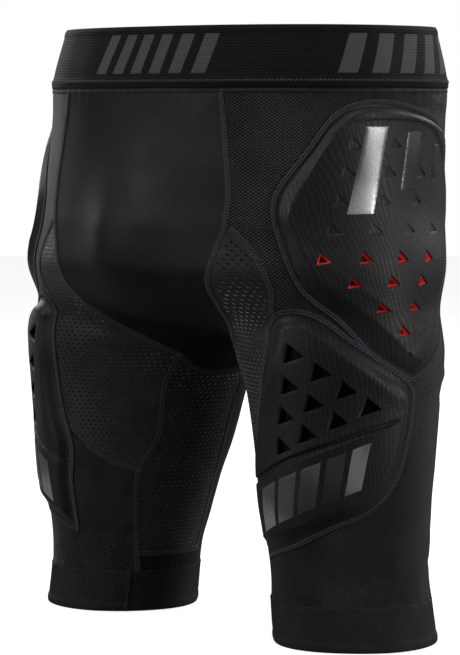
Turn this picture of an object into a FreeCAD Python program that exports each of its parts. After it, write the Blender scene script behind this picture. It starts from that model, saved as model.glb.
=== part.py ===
import FreeCAD, Part
import math
import os

# Padded impact shorts, adult size L, worn shape, in millimetres.
# +Z is up, the wearer's front faces -Y and the wearer's left is +X.
# Every fabric piece lies on one smooth body surface: a torso and two legs blended together.
# A place on a side is given by (phi, z): phi turns about that leg's axis, from 0 at the
# front through 90 at the outer side to 180 at the back, and z is the height.

# ---- Driving dimensions ----

TOTAL_HEIGHT = 485.0
WAISTBAND_BOTTOM = 437.5
CUFF_TOP = 33.5
PANEL_BOTTOM = 34.2

FABRIC = 0.8            # thickness of the sewn panels
WAISTBAND_WALL = 1.8
CUFF_WALL = 1.6
GRIPPER_WALL = 0.8
SEAM_WIDTH = 3.2        # flatlock seam, over the panels
SEAM_FLOOR = 0.9
SEAM_CEILING = 1.5
PAD_FLOOR = 0.9         # the pads stand on the panels
PAD_CEILING = 8.0
COVER_SKIN = 1.0
FOAM_RIM = 0.04         # share of the pad's width that the cover turns down over
FOAM_CLEARANCE = 0.02   # between the foam and the skin over it
EMBLEM_GAP = 0.05
EMBLEM_THICKNESS = 0.3
CENTRE_Y = 15.6         # moves the body so that its box is centred on the origin

# Torso sections: height, half width, front depth, back depth, centre y
TORSO = (
    (200, 180, 118, 110, -16),
    (250, 180, 122, 114, -16),
    (300, 180, 129, 124, -14),
    (325, 179, 129, 128, -12),
    (353, 177, 127, 129, -11),
    (415, 174, 126, 127, -6),
    (430, 175, 126, 127, -5),
    (490, 162, 117, 117, -2),
)
# Leg sections: height, centre x, centre y, half size across the outer front corner,
# half size across the inner front corner
LEG = (
    (0, 136, -18, 62.5, 63.5),
    (30, 132, -18, 62, 62.5),
    (50, 130, -18, 63, 61.5),
    (79, 127, -17, 68, 63.5),
    (107, 124, -17, 73.5, 67),
    (140, 121, -14, 80.5, 70),
    (195, 116, -11, 90, 76),
    (235, 108, -8, 99, 83),
    (300, 97, -8, 94, 80),
    (345, 90, -6, 76, 66),
    (490, 80, -4, 45, 45),
)
TORSO_POWER = 2.35      # exponents of the rounded sections
LEG_POWER = 2.15
TORSO_SCALE = 120.0     # turns the torso's ratio into about a millimetre of distance
TORSO_FLOOR = 300.0     # the torso closes in a bowl below this height
TORSO_BOWL = 56.0
BLEND = 30.0            # how softly the legs and torso run together
POUCH_DEPTH = 14.0
POUCH_WIDTH = 42.0
POUCH_HEIGHT = 55.0
POUCH_Z = 318.0
POUCH_FADE = 60.0       # how far forward the pouch reaches its full depth
CORE_Y = -5.0           # the line inside the torso that the centre panels are seen from
CORE_Z = 300.0
LEG_TWIST = 12.0        # degrees that the cloth is turned on the lower legs
TWIST_TOP = 265.0
TWIST_BOTTOM = 150.0
MM_PER_DEGREE = 1.5     # how far a degree of phi runs along the cloth, about
RAY_STEP = 10.0         # how a ray looks for the body surface
RAY_LIMIT = 400.0
RAY_HALVINGS = 16
NORMAL_STEP = 0.3

# Seams on one side, as (phi, z)
FRONT_SEAM = ((2, 437), (4, 390), (5, 355), (3, 330), (-1, 312), (-6, 290), (-10, 271),
              (-17, 256), (-28, 244), (-42, 234.5), (-55, 226), (-68, 219))
VENT_EDGE = ((5.5, 328), (12, 314), (16, 299), (18, 282), (15, 265), (13, 235), (3, 195), (-6, 160))
VENT_HEM = ((-6, 160), (-24, 141), (-45, 127), (-62, 121))
INSEAM = ((-68, 219), (-68, 193), (-72, 163), (-70, 142), (-62, 121))
LOWER_INSEAM = ((-62, 121), (-62, 95), (-65, 60), (-68, PANEL_BOTTOM))
BACK_SEAM = ((142, 437), (141, 380), (141, 320), (141, 270), (144, 246))
SEAT_FOLD = ((144, 246), (158, 230), (178, 219), (200, 212), (222, 209), (238, 211))
OUTER_LEG_SEAM = ((144, 246), (142, 200), (140, 150), (140, 90), (140, PANEL_BOTTOM))
INNER_BACK_SEAM = ((238, 211), (238, 170), (236, 120), (235, 80), (235, 49))
INNER_HEM_Z = 49.0
CROTCH = ((-68, 219), (-82, 207), (-96, 203), (-109, 204), (-122, 211))

# Pad outlines as their top, outer, bottom and inner sides
HIP_PAD = {
    "top": ((38, 388), (48, 411), (58, 422), (72, 425), (90, 422), (109, 415), (123, 406)),
    "outer": ((123, 406), (127, 380), (127, 334), (121, 290), (112, 248), (98, 225)),
    "bottom": ((28, 298), (33, 279), (46, 258), (61, 232), (76, 217), (85, 213), (98, 225)),
    "inner": ((38, 388), (26, 360), (23, 343), (24, 326), (28, 298)),
}
THIGH_PAD = {
    "top": ((12, 252), (17, 262), (26, 265), (36, 260), (53, 239), (75, 216), (83, 208)),
    "outer": ((83, 208), (88, 197), (90, 171), (87, 145), (80, 124)),
    "bottom": ((-18, 68), (0, 75), (21, 83), (47, 99), (68, 110), (80, 124)),
    "inner": ((12, 252), (10, 232), (-4, 175), (-13, 140), (-14, 103), (-18, 68)),
}
# Rows of triangular holes in the hip pad: height, phi of the first hole, step in phi, count
HIP_HOLE_ROWS = (
    (392, 57, 22, 2), (370, 53, 21.5, 3), (348, 49.5, 20.5, 3), (325, 45.5, 18.5, 4),
    (304, 41, 17.2, 4), (287, 52.5, 17, 3), (267, 64, 16.5, 2), (248, 73.5, 16, 1),
)
HIP_HOLE = 10.5         # side of a hole
HIP_HOLE_TURN = -20.0   # degrees that a hole's outer corner is turned up
THIGH_HOLE = 17.0
THIGH_HOLE_TURN = -8.0
THIGH_HOLE_START = (24.9, 232.6)
THIGH_HOLE_ALONG = (12.7, -13.3)    # step from hole to hole along a row
THIGH_HOLE_DOWN = (-1.1, -24.0)     # step from row to row
THIGH_HOLE_ROWS = (4, 3, 2, 1)
HOLE_DEPTH = 4.0        # how far the holes reach below the pad's face
HOLE_CLEARANCE = 4.0    # how far the cutter stands above it

# Printed emblems, as bars with four corners in (phi, z)
HIP_EMBLEM = (
    ((63, 406), (75, 406), (64, 338), (52, 338)),
    ((88, 402), (98, 402), (90, 356), (80, 356)),
    ((108, 392), (114, 392), (110, 366), (104, 366)),
)
THIGH_EMBLEM_START = 3.0           # phi of the first bar's upper corner
THIGH_EMBLEM_WIDTHS = (12.5, 11.5, 10.5, 9.5, 8.5)
THIGH_EMBLEM_GAP = 3.0
THIGH_EMBLEM_SLANT = 4.0            # how far each bar leans, in degrees of phi
THIGH_EMBLEM_TOP = (123.0, 0.64)    # height at phi 0, and its rise for each degree
THIGH_EMBLEM_BOTTOM = (90.0, 0.58)
# Tailbone pad on the seat: height, half angle about the torso's core
TAILBONE_TOP = 408.0
TAILBONE_BOTTOM = 296.0
TAILBONE_TOP_ANGLE = 27.0
TAILBONE_BOTTOM_ANGLE = 15.0
TAILBONE_CEILING = 7.0

# Small parts
WAIST_SEAM = (433.8, 437.2)         # heights of the stitching under the waistband
GRIPPER = (5.0, 17.0)
LABEL_TOP = 446.0
LABEL_HEIGHT = 20.0
LABEL_HALF_ANGLE = 6.0
LABEL_FACES = (-0.9, -0.4)          # inside the waistband
GROIN_TOP = (2.8, 328)              # where the groin panel starts at the front seam
INNER_HEM_TOP = ((-66, INNER_HEM_Z - 0.3), (-125, INNER_HEM_Z - 0.3))
INNER_HEM_BOTTOM = ((-68, PANEL_BOTTOM), (-125, PANEL_BOTTOM))


# ---- The body surface ----

class Profile:
    """A smooth run of values through stations, with no overshoot between them."""

    def __init__(self, stations):
        self.heights = [row[0] for row in stations]
        self.columns = list(zip(*[row[1:] for row in stations]))
        self.slopes = [self.tangents(column) for column in self.columns]

    def tangents(self, values):
        rates = [(values[i + 1] - values[i]) / (self.heights[i + 1] - self.heights[i])
                 for i in range(len(values) - 1)]
        inner = [0.0 if a * b <= 0 else 2 * a * b / (a + b) for a, b in zip(rates, rates[1:])]
        return [rates[0]] + inner + [rates[-1]]

    def __call__(self, z):
        z = min(max(z, self.heights[0]), self.heights[-1])
        i = 0
        while i < len(self.heights) - 2 and z > self.heights[i + 1]:
            i += 1
        span = self.heights[i + 1] - self.heights[i]
        t = (z - self.heights[i]) / span
        t2 = t * t
        t3 = t2 * t
        weights = (2 * t3 - 3 * t2 + 1, (t3 - 2 * t2 + t) * span, 3 * t2 - 2 * t3, (t3 - t2) * span)
        return [weights[0] * v[i] + weights[1] * s[i] + weights[2] * v[i + 1] + weights[3] * s[i + 1]
                for v, s in zip(self.columns, self.slopes)]


TORSO_PROFILE = Profile(TORSO)
LEG_PROFILE = Profile(LEG)


def soft_minimum(a, b):
    share = max(BLEND - abs(a - b), 0.0) / BLEND
    return min(a, b) - share * share * BLEND / 4


def torso_field(x, y, z):
    half_width, front, back, centre = TORSO_PROFILE(z)
    y -= centre
    depth = front if y < 0 else back
    bowl = max((TORSO_FLOOR - z) / TORSO_BOWL, 0.0)
    total = abs(x / half_width) ** TORSO_POWER + abs(y / depth) ** TORSO_POWER + bowl ** TORSO_POWER
    return (total ** (1 / TORSO_POWER) - 1) * TORSO_SCALE


def leg_field(x, y, z):
    centre_x, centre_y, outer, inner = LEG_PROFILE(z)
    x -= centre_x
    y -= centre_y
    u = abs(x - y) * math.sqrt(0.5) / outer
    v = abs(x + y) * math.sqrt(0.5) / inner
    return ((u ** LEG_POWER + v ** LEG_POWER) ** (1 / LEG_POWER) - 1) * (outer + inner) / 2


def body_field(x, y, z):
    """Negative inside the wearer's body, zero on the cloth's inner face."""
    legs = soft_minimum(leg_field(x, y, z), leg_field(-x, y, z))
    field = soft_minimum(legs, torso_field(x, y, z))
    if y < 0:
        spread = (x / POUCH_WIDTH) ** 2 + ((z - POUCH_Z) / POUCH_HEIGHT) ** 2
        field -= POUCH_DEPTH * math.exp(-spread) * min(-y / POUCH_FADE, 1.0)
    return field


def surface_point(origin, direction):
    """Where a ray from inside the body leaves it, with the outward normal there."""
    length = math.sqrt(sum(d * d for d in direction))
    step = [d / length for d in direction]

    def at(distance):
        return [o + s * distance for o, s in zip(origin, step)]

    near = 0.0
    far = RAY_STEP
    while body_field(*at(far)) < 0 and far < RAY_LIMIT:
        near = far
        far += RAY_STEP
    for _ in range(RAY_HALVINGS):
        middle = (near + far) / 2
        if body_field(*at(middle)) < 0:
            near = middle
        else:
            far = middle
    point = at(near)
    here = body_field(*point)
    slope = []
    for axis in range(3):
        moved = list(point)
        moved[axis] += NORMAL_STEP
        slope.append(body_field(*moved) - here)
    return FreeCAD.Vector(*point), FreeCAD.Vector(*slope).normalize()


def twist(z):
    share = min(max((TWIST_TOP - z) / (TWIST_TOP - TWIST_BOTTOM), 0.0), 1.0)
    return LEG_TWIST * share * share * (3 - 2 * share)


def side_point(side, phi, z):
    """A place on one side of the shorts; side is +1 for the wearer's left."""
    centre_x, centre_y = LEG_PROFILE(z)[:2]
    angle = math.radians(phi - side * twist(z))
    origin = (side * centre_x, centre_y, z)
    return surface_point(origin, (side * math.sin(angle), -math.cos(angle), 0.0))


# ---- Curves and grids on the surface ----

def run_lengths(points):
    total = [0.0]
    for (phi_a, z_a), (phi_b, z_b) in zip(points, points[1:]):
        total.append(total[-1] + math.hypot((phi_b - phi_a) * MM_PER_DEGREE, z_b - z_a))
    return total


def along(points, t):
    """A smooth curve through (phi, z) points, t from 0 to 1 by length."""
    total = run_lengths(points)
    want = t * total[-1]
    i = 0
    while i < len(points) - 2 and want > total[i + 1]:
        i += 1
    local = (want - total[i]) / (total[i + 1] - total[i])
    before = points[max(i - 1, 0)]
    after = points[min(i + 2, len(points) - 1)]
    result = []
    for p0, p1, p2, p3 in zip(before, points[i], points[i + 1], after):
        linear = 2 * p1 + (p2 - p0) * local
        square = (2 * p0 - 5 * p1 + 4 * p2 - p3) * local ** 2
        cube = (3 * p1 - p0 - 3 * p2 + p3) * local ** 3
        result.append((linear + square + cube) / 2)
    return result


def quad_grid(side, top, bottom, left, right, columns, rows):
    """Surface points between four edge curves that share their corners."""
    grid = []
    for j in range(rows):
        v = j / (rows - 1)
        a = along(left, v)
        b = along(right, v)
        line = []
        for i in range(columns):
            u = i / (columns - 1)
            c = along(top, u)
            d = along(bottom, u)
            place = []
            for k in (0, 1):
                edges = (1 - u) * a[k] + u * b[k] + (1 - v) * c[k] + v * d[k]
                corners = ((1 - u) * (1 - v) * left[0][k] + u * (1 - v) * right[0][k]
                           + (1 - u) * v * left[-1][k] + u * v * right[-1][k])
                place.append(edges - corners)
            line.append(side_point(side, *place))
        grid.append(line)
    return grid


def fan_grid(edge, columns, rows, from_core):
    """Points across the middle of the shorts, between the same curve on both sides."""
    grid = []
    for j in range(rows):
        place = along(edge, j / (rows - 1))
        left = side_point(1, *place)[0]
        right = side_point(-1, *place)[0]
        core = FreeCAD.Vector(0, CORE_Y, from_core(place[1]))
        line = []
        for i in range(columns):
            u = i / (columns - 1)
            direction = (left - core) * (1 - u) + (right - core) * u
            line.append(surface_point(tuple(core), tuple(direction)))
        grid.append(line)
    return grid


def spline_poles(points):
    """Poles of the smooth cubic that passes through evenly counted points."""
    last = len(points) - 1
    poles = []
    for i, point in enumerate(points):
        before = points[max(i - 1, 0)]
        after = points[min(i + 1, last)]
        slope = (after - before) * (0.5 if 0 < i < last else 1.0)
        if i > 0:
            poles.append(point - slope / 3)
        else:
            poles.append(point)
        if i < last:
            poles.append(point + slope / 3)
        else:
            poles.append(point)
    return poles


def spline_knots(count):
    """Multiplicities, knots and degree of the cubic through so many points."""
    return [4] + [2] * (count - 2) + [4], [float(i) for i in range(count)], 3


RULED_KNOTS = ([2, 2], [0.0, 1.0], 1)


def spline_face(poles, u_knots, v_knots):
    surface = Part.BSplineSurface()
    surface.buildFromPolesMultsKnots([list(line) for line in poles], u_knots[0], v_knots[0],
                                     u_knots[1], v_knots[1], False, False, u_knots[2], v_knots[2])
    return surface.toShape()


def slab(grid, low, high):
    """A closed solid between two offsets of a grid of surface points."""
    skins = []
    for offset in (low, high):
        lines = [spline_poles([point + normal * offset for point, normal in line]) for line in grid]
        skins.append(list(zip(*[spline_poles(column) for column in zip(*lines)])))
    rows = len(grid)
    columns = len(grid[0])
    faces = [spline_face(skin, spline_knots(rows), spline_knots(columns)) for skin in skins]
    for edge in (0, -1):
        crosswise = [skin[edge] for skin in skins]
        lengthwise = [[line[edge] for line in skin] for skin in skins]
        faces.append(spline_face(crosswise, RULED_KNOTS, spline_knots(columns)))
        faces.append(spline_face(lengthwise, RULED_KNOTS, spline_knots(rows)))
    shell = Part.makeShell(faces)
    shell.sewShape()
    solid = Part.makeSolid(shell)
    if solid.Volume < 0:
        solid.reverse()
    return solid


def ring(section, heights, low, high):
    """A closed band of cloth around a limb: section gives points at a height."""
    solids = []
    for offset in (low, high):
        wires = []
        for z in heights:
            curve = Part.BSplineCurve()
            points = []
            for point, normal in section(z):
                outward = FreeCAD.Vector(normal.x, normal.y, 0).normalize()
                points.append(point + outward * offset)
            curve.interpolate(Points=points, PeriodicFlag=True)
            wires.append(Part.Wire([curve.toShape()]))
        solids.append(Part.makeLoft(wires, True))
    return solids[1].cut(solids[0])


def torso_section(z):
    turns = [2 * math.pi * i / 32 for i in range(32)]
    return [surface_point((0, CORE_Y, z), (math.sin(a), -math.cos(a), 0)) for a in turns]


def leg_section(side):
    return lambda z: [side_point(side, 360 * i / 24, z) for i in range(24)]


# ---- Cloth pieces ----

def straight(start, end):
    return (start, end)


def spaced(low, high, count):
    return [low + (high - low) * i / (count - 1) for i in range(count)]


def front_panel():
    grid = fan_grid(FRONT_SEAM, 17, 19, lambda z: max(z, CORE_Z))
    return slab(grid, 0, FABRIC)


def seat_panel():
    edge = BACK_SEAM + SEAT_FOLD[1:]
    grid = fan_grid(edge, 21, 21, lambda z: max(z, CORE_Z))
    return slab(grid, 0, FABRIC)


def crotch_gusset():
    grid = fan_grid(CROTCH, 9, 9, lambda z: CORE_Z)
    return slab(grid, 0, FABRIC)


def side_mesh_panel(side):
    upper = tuple(p for p in FRONT_SEAM if p[1] >= 330)
    left = upper + VENT_EDGE[1:] + VENT_HEM[1:] + LOWER_INSEAM[1:]
    right = BACK_SEAM + OUTER_LEG_SEAM[1:]
    top = straight(left[0], right[0])
    bottom = straight(left[-1], right[-1])
    return slab(quad_grid(side, top, bottom, left, right, 15, 27), 0, FABRIC)


def groin_vent_panel(side):
    front = (GROIN_TOP,) + tuple(p for p in FRONT_SEAM if p[1] < GROIN_TOP[1])
    left = front + INSEAM[1:]
    right = VENT_EDGE
    top = straight(left[0], right[0])
    bottom = tuple(reversed(VENT_HEM))
    return slab(quad_grid(side, top, bottom, left, right, 11, 25), 0, FABRIC)


def inner_thigh_vent_panel(side):
    left = INSEAM + LOWER_INSEAM[1:3] + ((INNER_HEM_TOP[0][0], INNER_HEM_Z),)
    right = tuple((phi - 360, z) for phi, z in INNER_BACK_SEAM)
    bottom = straight(left[-1], right[-1])
    return slab(quad_grid(side, CROTCH, bottom, left, right, 11, 17), 0, FABRIC)


def inner_hem_panel(side):
    left = straight(INNER_HEM_TOP[0], INNER_HEM_BOTTOM[0])
    right = straight(INNER_HEM_TOP[1], INNER_HEM_BOTTOM[1])
    return slab(quad_grid(side, INNER_HEM_TOP, INNER_HEM_BOTTOM, left, right, 9, 5), 0, FABRIC)


def back_thigh_panel(side):
    left = OUTER_LEG_SEAM
    right = INNER_BACK_SEAM + ((235, PANEL_BOTTOM),)
    bottom = straight(left[-1], right[-1])
    return slab(quad_grid(side, SEAT_FOLD, bottom, left, right, 13, 17), 0, FABRIC)


def waistband():
    return ring(torso_section, spaced(WAISTBAND_BOTTOM, TOTAL_HEIGHT, 4), 0, WAISTBAND_WALL)


def leg_cuff(side):
    return ring(leg_section(side), spaced(0, CUFF_TOP, 4), 0, CUFF_WALL)


def cuff_gripper(side):
    return ring(leg_section(side), spaced(*GRIPPER, 3), -GRIPPER_WALL, 0)


# ---- Pads ----

def pad_grid(side, outline):
    return quad_grid(side, outline["top"], outline["bottom"], outline["inner"], outline["outer"], 15, 15)


def shrunk(grid, rim):
    """The same patch with its edges drawn in by a share of its size."""
    rows = len(grid)
    columns = len(grid[0])

    def pick(j, i):
        j0 = min(int(j), rows - 2)
        i0 = min(int(i), columns - 2)
        dj = j - j0
        di = i - i0
        mixed = []
        for k in (0, 1):
            upper = grid[j0][i0][k] * (1 - di) + grid[j0][i0 + 1][k] * di
            lower = grid[j0 + 1][i0][k] * (1 - di) + grid[j0 + 1][i0 + 1][k] * di
            mixed.append(upper * (1 - dj) + lower * dj)
        return mixed[0], mixed[1].normalize()

    spread = 1 - 2 * rim
    return [[pick((rows - 1) * (rim + spread * j / (rows - 1)),
                  (columns - 1) * (rim + spread * i / (columns - 1)))
             for i in range(columns)] for j in range(rows)]


def triangle_hole(side, phi, z, size, turn):
    """A three-cornered cutter, standing square to the pad, with one corner turned outward."""
    point, normal = side_point(side, phi, z)
    upward = FreeCAD.Vector(0, 0, 1)
    outward = upward.cross(normal).normalize() * side
    upward = (upward - normal * upward.dot(normal)).normalize()
    radius = size / math.sqrt(3)
    corners = []
    for corner in range(4):
        angle = math.radians(turn + 120 * corner)
        corners.append(point + normal * (PAD_CEILING - HOLE_DEPTH)
                       + outward * radius * math.cos(angle) + upward * radius * math.sin(angle))
    return Part.Face(Part.makePolygon(corners)).extrude(normal * (HOLE_DEPTH + HOLE_CLEARANCE))


def hip_holes(side):
    holes = []
    for z, first, step, count in HIP_HOLE_ROWS:
        for i in range(count):
            holes.append(triangle_hole(side, first + step * i, z, HIP_HOLE, HIP_HOLE_TURN))
    return holes


def thigh_holes(side):
    holes = []
    for row, count in enumerate(THIGH_HOLE_ROWS):
        for i in range(count):
            phi = THIGH_HOLE_START[0] + THIGH_HOLE_ALONG[0] * i + THIGH_HOLE_DOWN[0] * row
            z = THIGH_HOLE_START[1] + THIGH_HOLE_ALONG[1] * i + THIGH_HOLE_DOWN[1] * row
            holes.append(triangle_hole(side, phi, z, THIGH_HOLE, THIGH_HOLE_TURN))
    return holes


def pad_pieces(grid, ceiling, holes):
    """A moulded cover, open below, and the foam that fills it."""
    inside = shrunk(grid, FOAM_RIM)
    cover = slab(grid, PAD_FLOOR, ceiling)
    cover = cover.cut(slab(inside, 0, ceiling - COVER_SKIN))
    foam = slab(inside, PAD_FLOOR, ceiling - COVER_SKIN - FOAM_CLEARANCE)
    if holes:
        cover = cover.cut(holes)
        foam = foam.cut(holes)
    return cover, foam


def thigh_emblem_bars():
    bars = []
    start = THIGH_EMBLEM_START
    for width in THIGH_EMBLEM_WIDTHS:
        end = start + width
        top = [(phi, THIGH_EMBLEM_TOP[0] + THIGH_EMBLEM_TOP[1] * phi) for phi in (start, end)]
        bottom = [(phi - THIGH_EMBLEM_SLANT, THIGH_EMBLEM_BOTTOM[0] + THIGH_EMBLEM_BOTTOM[1] * phi)
                  for phi in (end, start)]
        bars.append(top + bottom)
        start = end + THIGH_EMBLEM_GAP
    return bars


def emblem(side, bars):
    """Flat printed bars on a pad's face."""
    solids = []
    for upper_left, upper_right, lower_right, lower_left in bars:
        grid = quad_grid(side, straight(upper_left, upper_right), straight(lower_left, lower_right),
                         straight(upper_left, lower_left), straight(upper_right, lower_right), 5, 7)
        bottom = PAD_CEILING + EMBLEM_GAP
        solids.append(slab(grid, bottom, bottom + EMBLEM_THICKNESS))
    return Part.makeCompound(solids)


def tailbone_grid():
    grid = []
    for j in range(11):
        v = j / 10
        z = TAILBONE_TOP + (TAILBONE_BOTTOM - TAILBONE_TOP) * v
        half = TAILBONE_TOP_ANGLE + (TAILBONE_BOTTOM_ANGLE - TAILBONE_TOP_ANGLE) * v
        line = []
        for i in range(11):
            angle = math.radians(half * (1 - i / 5))
            line.append(surface_point((0, CORE_Y, z), (math.sin(angle), math.cos(angle), 0)))
        grid.append(line)
    return grid


# ---- Seams and label ----

def seam_band(side, points, rows, out=0.0):
    """A flat strip of stitching along a curve, moved sideways by out."""
    grid = []
    for j in range(rows):
        t = j / (rows - 1)
        phi, z = along(points, t)
        ahead = along(points, min(t + 0.01, 1))
        behind = along(points, max(t - 0.01, 0))
        run = math.hypot((ahead[0] - behind[0]) * MM_PER_DEGREE, ahead[1] - behind[1])
        across_phi = (ahead[1] - behind[1]) / run / MM_PER_DEGREE
        across_z = -(ahead[0] - behind[0]) * MM_PER_DEGREE / run
        line = []
        for i in range(5):
            shift = out + SEAM_WIDTH * (i / 4 - 0.5)
            line.append(side_point(side, phi + across_phi * shift, z + across_z * shift))
        grid.append(line)
    return slab(grid, SEAM_FLOOR, SEAM_CEILING)


def pad_stitching(side, outline, clearance):
    """Stitching round a pad, in two strips that meet at two corners."""
    over = tuple(reversed(outline["inner"])) + outline["top"][1:]
    under = outline["outer"] + tuple(reversed(outline["bottom"]))[1:]
    return Part.makeCompound([seam_band(side, over, 25, -clearance), seam_band(side, under, 25, -clearance)])


def size_label():
    grid = []
    for j in range(5):
        z = LABEL_TOP - LABEL_HEIGHT * j / 4
        line = []
        for i in range(5):
            angle = math.radians(LABEL_HALF_ANGLE * (1 - i / 2))
            line.append(surface_point((0, CORE_Y, z), (math.sin(angle), math.cos(angle), 0)))
        grid.append(line)
    return slab(grid, *LABEL_FACES)


# ---- Assembly ----

def side_parts(side, name):
    hip = pad_grid(side, HIP_PAD)
    thigh = pad_grid(side, THIGH_PAD)
    hip_cover, hip_foam = pad_pieces(hip, PAD_CEILING, hip_holes(side))
    thigh_cover, thigh_foam = pad_pieces(thigh, PAD_CEILING, thigh_holes(side))
    parts = {
        "side_mesh_panel": side_mesh_panel(side),
        "groin_vent_panel": groin_vent_panel(side),
        "inner_thigh_vent_panel": inner_thigh_vent_panel(side),
        "inner_hem_panel": inner_hem_panel(side),
        "back_thigh_panel": back_thigh_panel(side),
        "hip_pad_cover": hip_cover,
        "hip_pad_foam": hip_foam,
        "hip_pad_emblem": emblem(side, HIP_EMBLEM),
        "thigh_pad_cover": thigh_cover,
        "thigh_pad_foam": thigh_foam,
        "thigh_pad_emblem": emblem(side, thigh_emblem_bars()),
        "hip_pad_stitching": pad_stitching(side, HIP_PAD, SEAM_WIDTH),
        "thigh_pad_stitching": pad_stitching(side, THIGH_PAD, SEAM_WIDTH),
        "front_seam_stitching": seam_band(side, FRONT_SEAM, 25),
        "inseam_stitching": seam_band(side, INSEAM + LOWER_INSEAM[1:], 21),
        "back_seam_stitching": seam_band(side, BACK_SEAM + OUTER_LEG_SEAM[1:], 25),
        "seat_fold_stitching": seam_band(side, SEAT_FOLD, 13),
        "vent_edge_stitching": seam_band(side, VENT_EDGE[:5], 9),
        "vent_hem_stitching": seam_band(side, VENT_HEM[1:], 9),
        "leg_cuff": leg_cuff(side),
        "cuff_gripper": cuff_gripper(side),
    }
    return {f"{name}_{part}": solid for part, solid in parts.items()}


def all_parts():
    tailbone_cover, tailbone_foam = pad_pieces(tailbone_grid(), TAILBONE_CEILING, [])
    parts = {
        "waistband": waistband(),
        "waistband_stitching": ring(torso_section, WAIST_SEAM, SEAM_FLOOR, WAISTBAND_WALL),
        "front_panel": front_panel(),
        "seat_panel": seat_panel(),
        "crotch_gusset": crotch_gusset(),
        "tailbone_pad_cover": tailbone_cover,
        "tailbone_pad_foam": tailbone_foam,
        "size_label": size_label(),
    }
    parts.update(side_parts(1, "left"))
    parts.update(side_parts(-1, "right"))
    return parts


os.makedirs("parts", exist_ok=True)
for node, shape in all_parts().items():
    shape.translate(FreeCAD.Vector(0, CENTRE_Y, 0))
    shape.exportStep(f"parts/{node}.step")
    box = shape.BoundBox
    print(f"{node:34s} solids {len(shape.Solids)} volume {shape.Volume:9.0f} valid {shape.isValid()}"
          f"  x {box.XMin:7.1f} {box.XMax:7.1f}  y {box.YMin:7.1f} {box.YMax:7.1f}"
          f"  z {box.ZMin:6.1f} {box.ZMax:6.1f}")
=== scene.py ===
"""Padded impact shorts: the visible cloth, pads and stitching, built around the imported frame.

Lengths are in millimetres until a mesh is made. A place on one side of the shorts is (phi, z), as
in the CAD: phi turns about the leg's axis from 0 at the front to 90 at the outer side, z is height.
"""

import math

import bpy
import numpy as np
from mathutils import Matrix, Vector
from mathutils.geometry import delaunay_2d_cdt


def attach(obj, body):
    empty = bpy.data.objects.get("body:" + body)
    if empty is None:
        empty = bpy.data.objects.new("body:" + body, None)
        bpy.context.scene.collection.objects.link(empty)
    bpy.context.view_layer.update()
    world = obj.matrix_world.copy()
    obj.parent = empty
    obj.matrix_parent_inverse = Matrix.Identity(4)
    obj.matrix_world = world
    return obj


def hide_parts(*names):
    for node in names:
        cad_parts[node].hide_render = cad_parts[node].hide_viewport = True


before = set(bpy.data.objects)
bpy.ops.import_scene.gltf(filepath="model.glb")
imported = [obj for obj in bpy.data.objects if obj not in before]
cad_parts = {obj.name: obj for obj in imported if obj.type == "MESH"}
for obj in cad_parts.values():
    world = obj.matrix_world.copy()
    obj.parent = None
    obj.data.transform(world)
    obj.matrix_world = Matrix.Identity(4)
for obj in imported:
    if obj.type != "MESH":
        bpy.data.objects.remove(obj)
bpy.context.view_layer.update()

# ---- Dimensions shared with the CAD ----

MM = 0.001
TOTAL_HEIGHT = 485.0
WAISTBAND_BOTTOM = 437.5
CUFF_TOP = 33.5
PANEL_BOTTOM = 34.2
FABRIC = 0.8
WAISTBAND_WALL = 1.8
CUFF_WALL = 1.6
GRIPPER_WALL = 0.8
PAD_FLOOR = 0.9
COVER_SKIN = 1.0
CENTRE_Y = 15.6

TORSO = np.array([
    (200, 180, 118, 110, -16), (250, 180, 122, 114, -16), (300, 180, 129, 124, -14),
    (325, 179, 129, 128, -12), (353, 177, 127, 129, -11), (415, 174, 126, 127, -6),
    (430, 175, 126, 127, -5), (490, 162, 117, 117, -2),
], float)
LEG = np.array([
    (0, 136, -18, 62.5, 63.5), (30, 132, -18, 62, 62.5), (50, 130, -18, 63, 61.5),
    (79, 127, -17, 68, 63.5), (107, 124, -17, 73.5, 67), (140, 121, -14, 80.5, 70),
    (195, 116, -11, 90, 76), (235, 108, -8, 99, 83), (300, 97, -8, 94, 80),
    (345, 90, -6, 76, 66), (490, 80, -4, 45, 45),
], float)
TORSO_POWER = 2.35
LEG_POWER = 2.15
TORSO_SCALE = 120.0
TORSO_FLOOR = 300.0
TORSO_BOWL = 56.0
BLEND = 30.0
POUCH_DEPTH = 14.0
POUCH_WIDTH = 42.0
POUCH_HEIGHT = 55.0
POUCH_Z = 318.0
POUCH_FADE = 60.0
CORE_Y = -5.0
CORE_Z = 300.0
LEG_TWIST = 12.0
TWIST_TOP = 265.0
TWIST_BOTTOM = 150.0
MM_PER_DEGREE = 1.5         # round a leg
BACK_MM_PER_DEGREE = 2.2    # round the back, about the torso's core

FRONT_SEAM = ((2, 437), (4, 390), (5, 355), (3, 330), (-1, 312), (-6, 290), (-10, 271),
              (-17, 256), (-28, 244), (-42, 234.5), (-55, 226), (-68, 219))
GROIN_TOP = (2.8, 328)
VENT_EDGE = ((5.5, 328), (12, 314), (16, 299), (18, 282), (15, 265), (13, 235), (3, 195), (-6, 160))
VENT_HEM = ((-6, 160), (-24, 141), (-45, 127), (-62, 121))
INSEAM = ((-68, 219), (-68, 193), (-72, 163), (-70, 142), (-62, 121))
LOWER_INSEAM = ((-62, 121), (-62, 95), (-65, 60), (-68, PANEL_BOTTOM))
BACK_SEAM = ((142, 437), (141, 380), (141, 320), (141, 270), (144, 246))
SEAT_FOLD = ((144, 246), (158, 230), (178, 219), (200, 212), (222, 209), (238, 211))
OUTER_LEG_SEAM = ((144, 246), (142, 200), (140, 150), (140, 90), (140, PANEL_BOTTOM))
INNER_HEM_Z = 49.0
INNER_HEM = ((-66, INNER_HEM_Z), (-125, INNER_HEM_Z))
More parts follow.
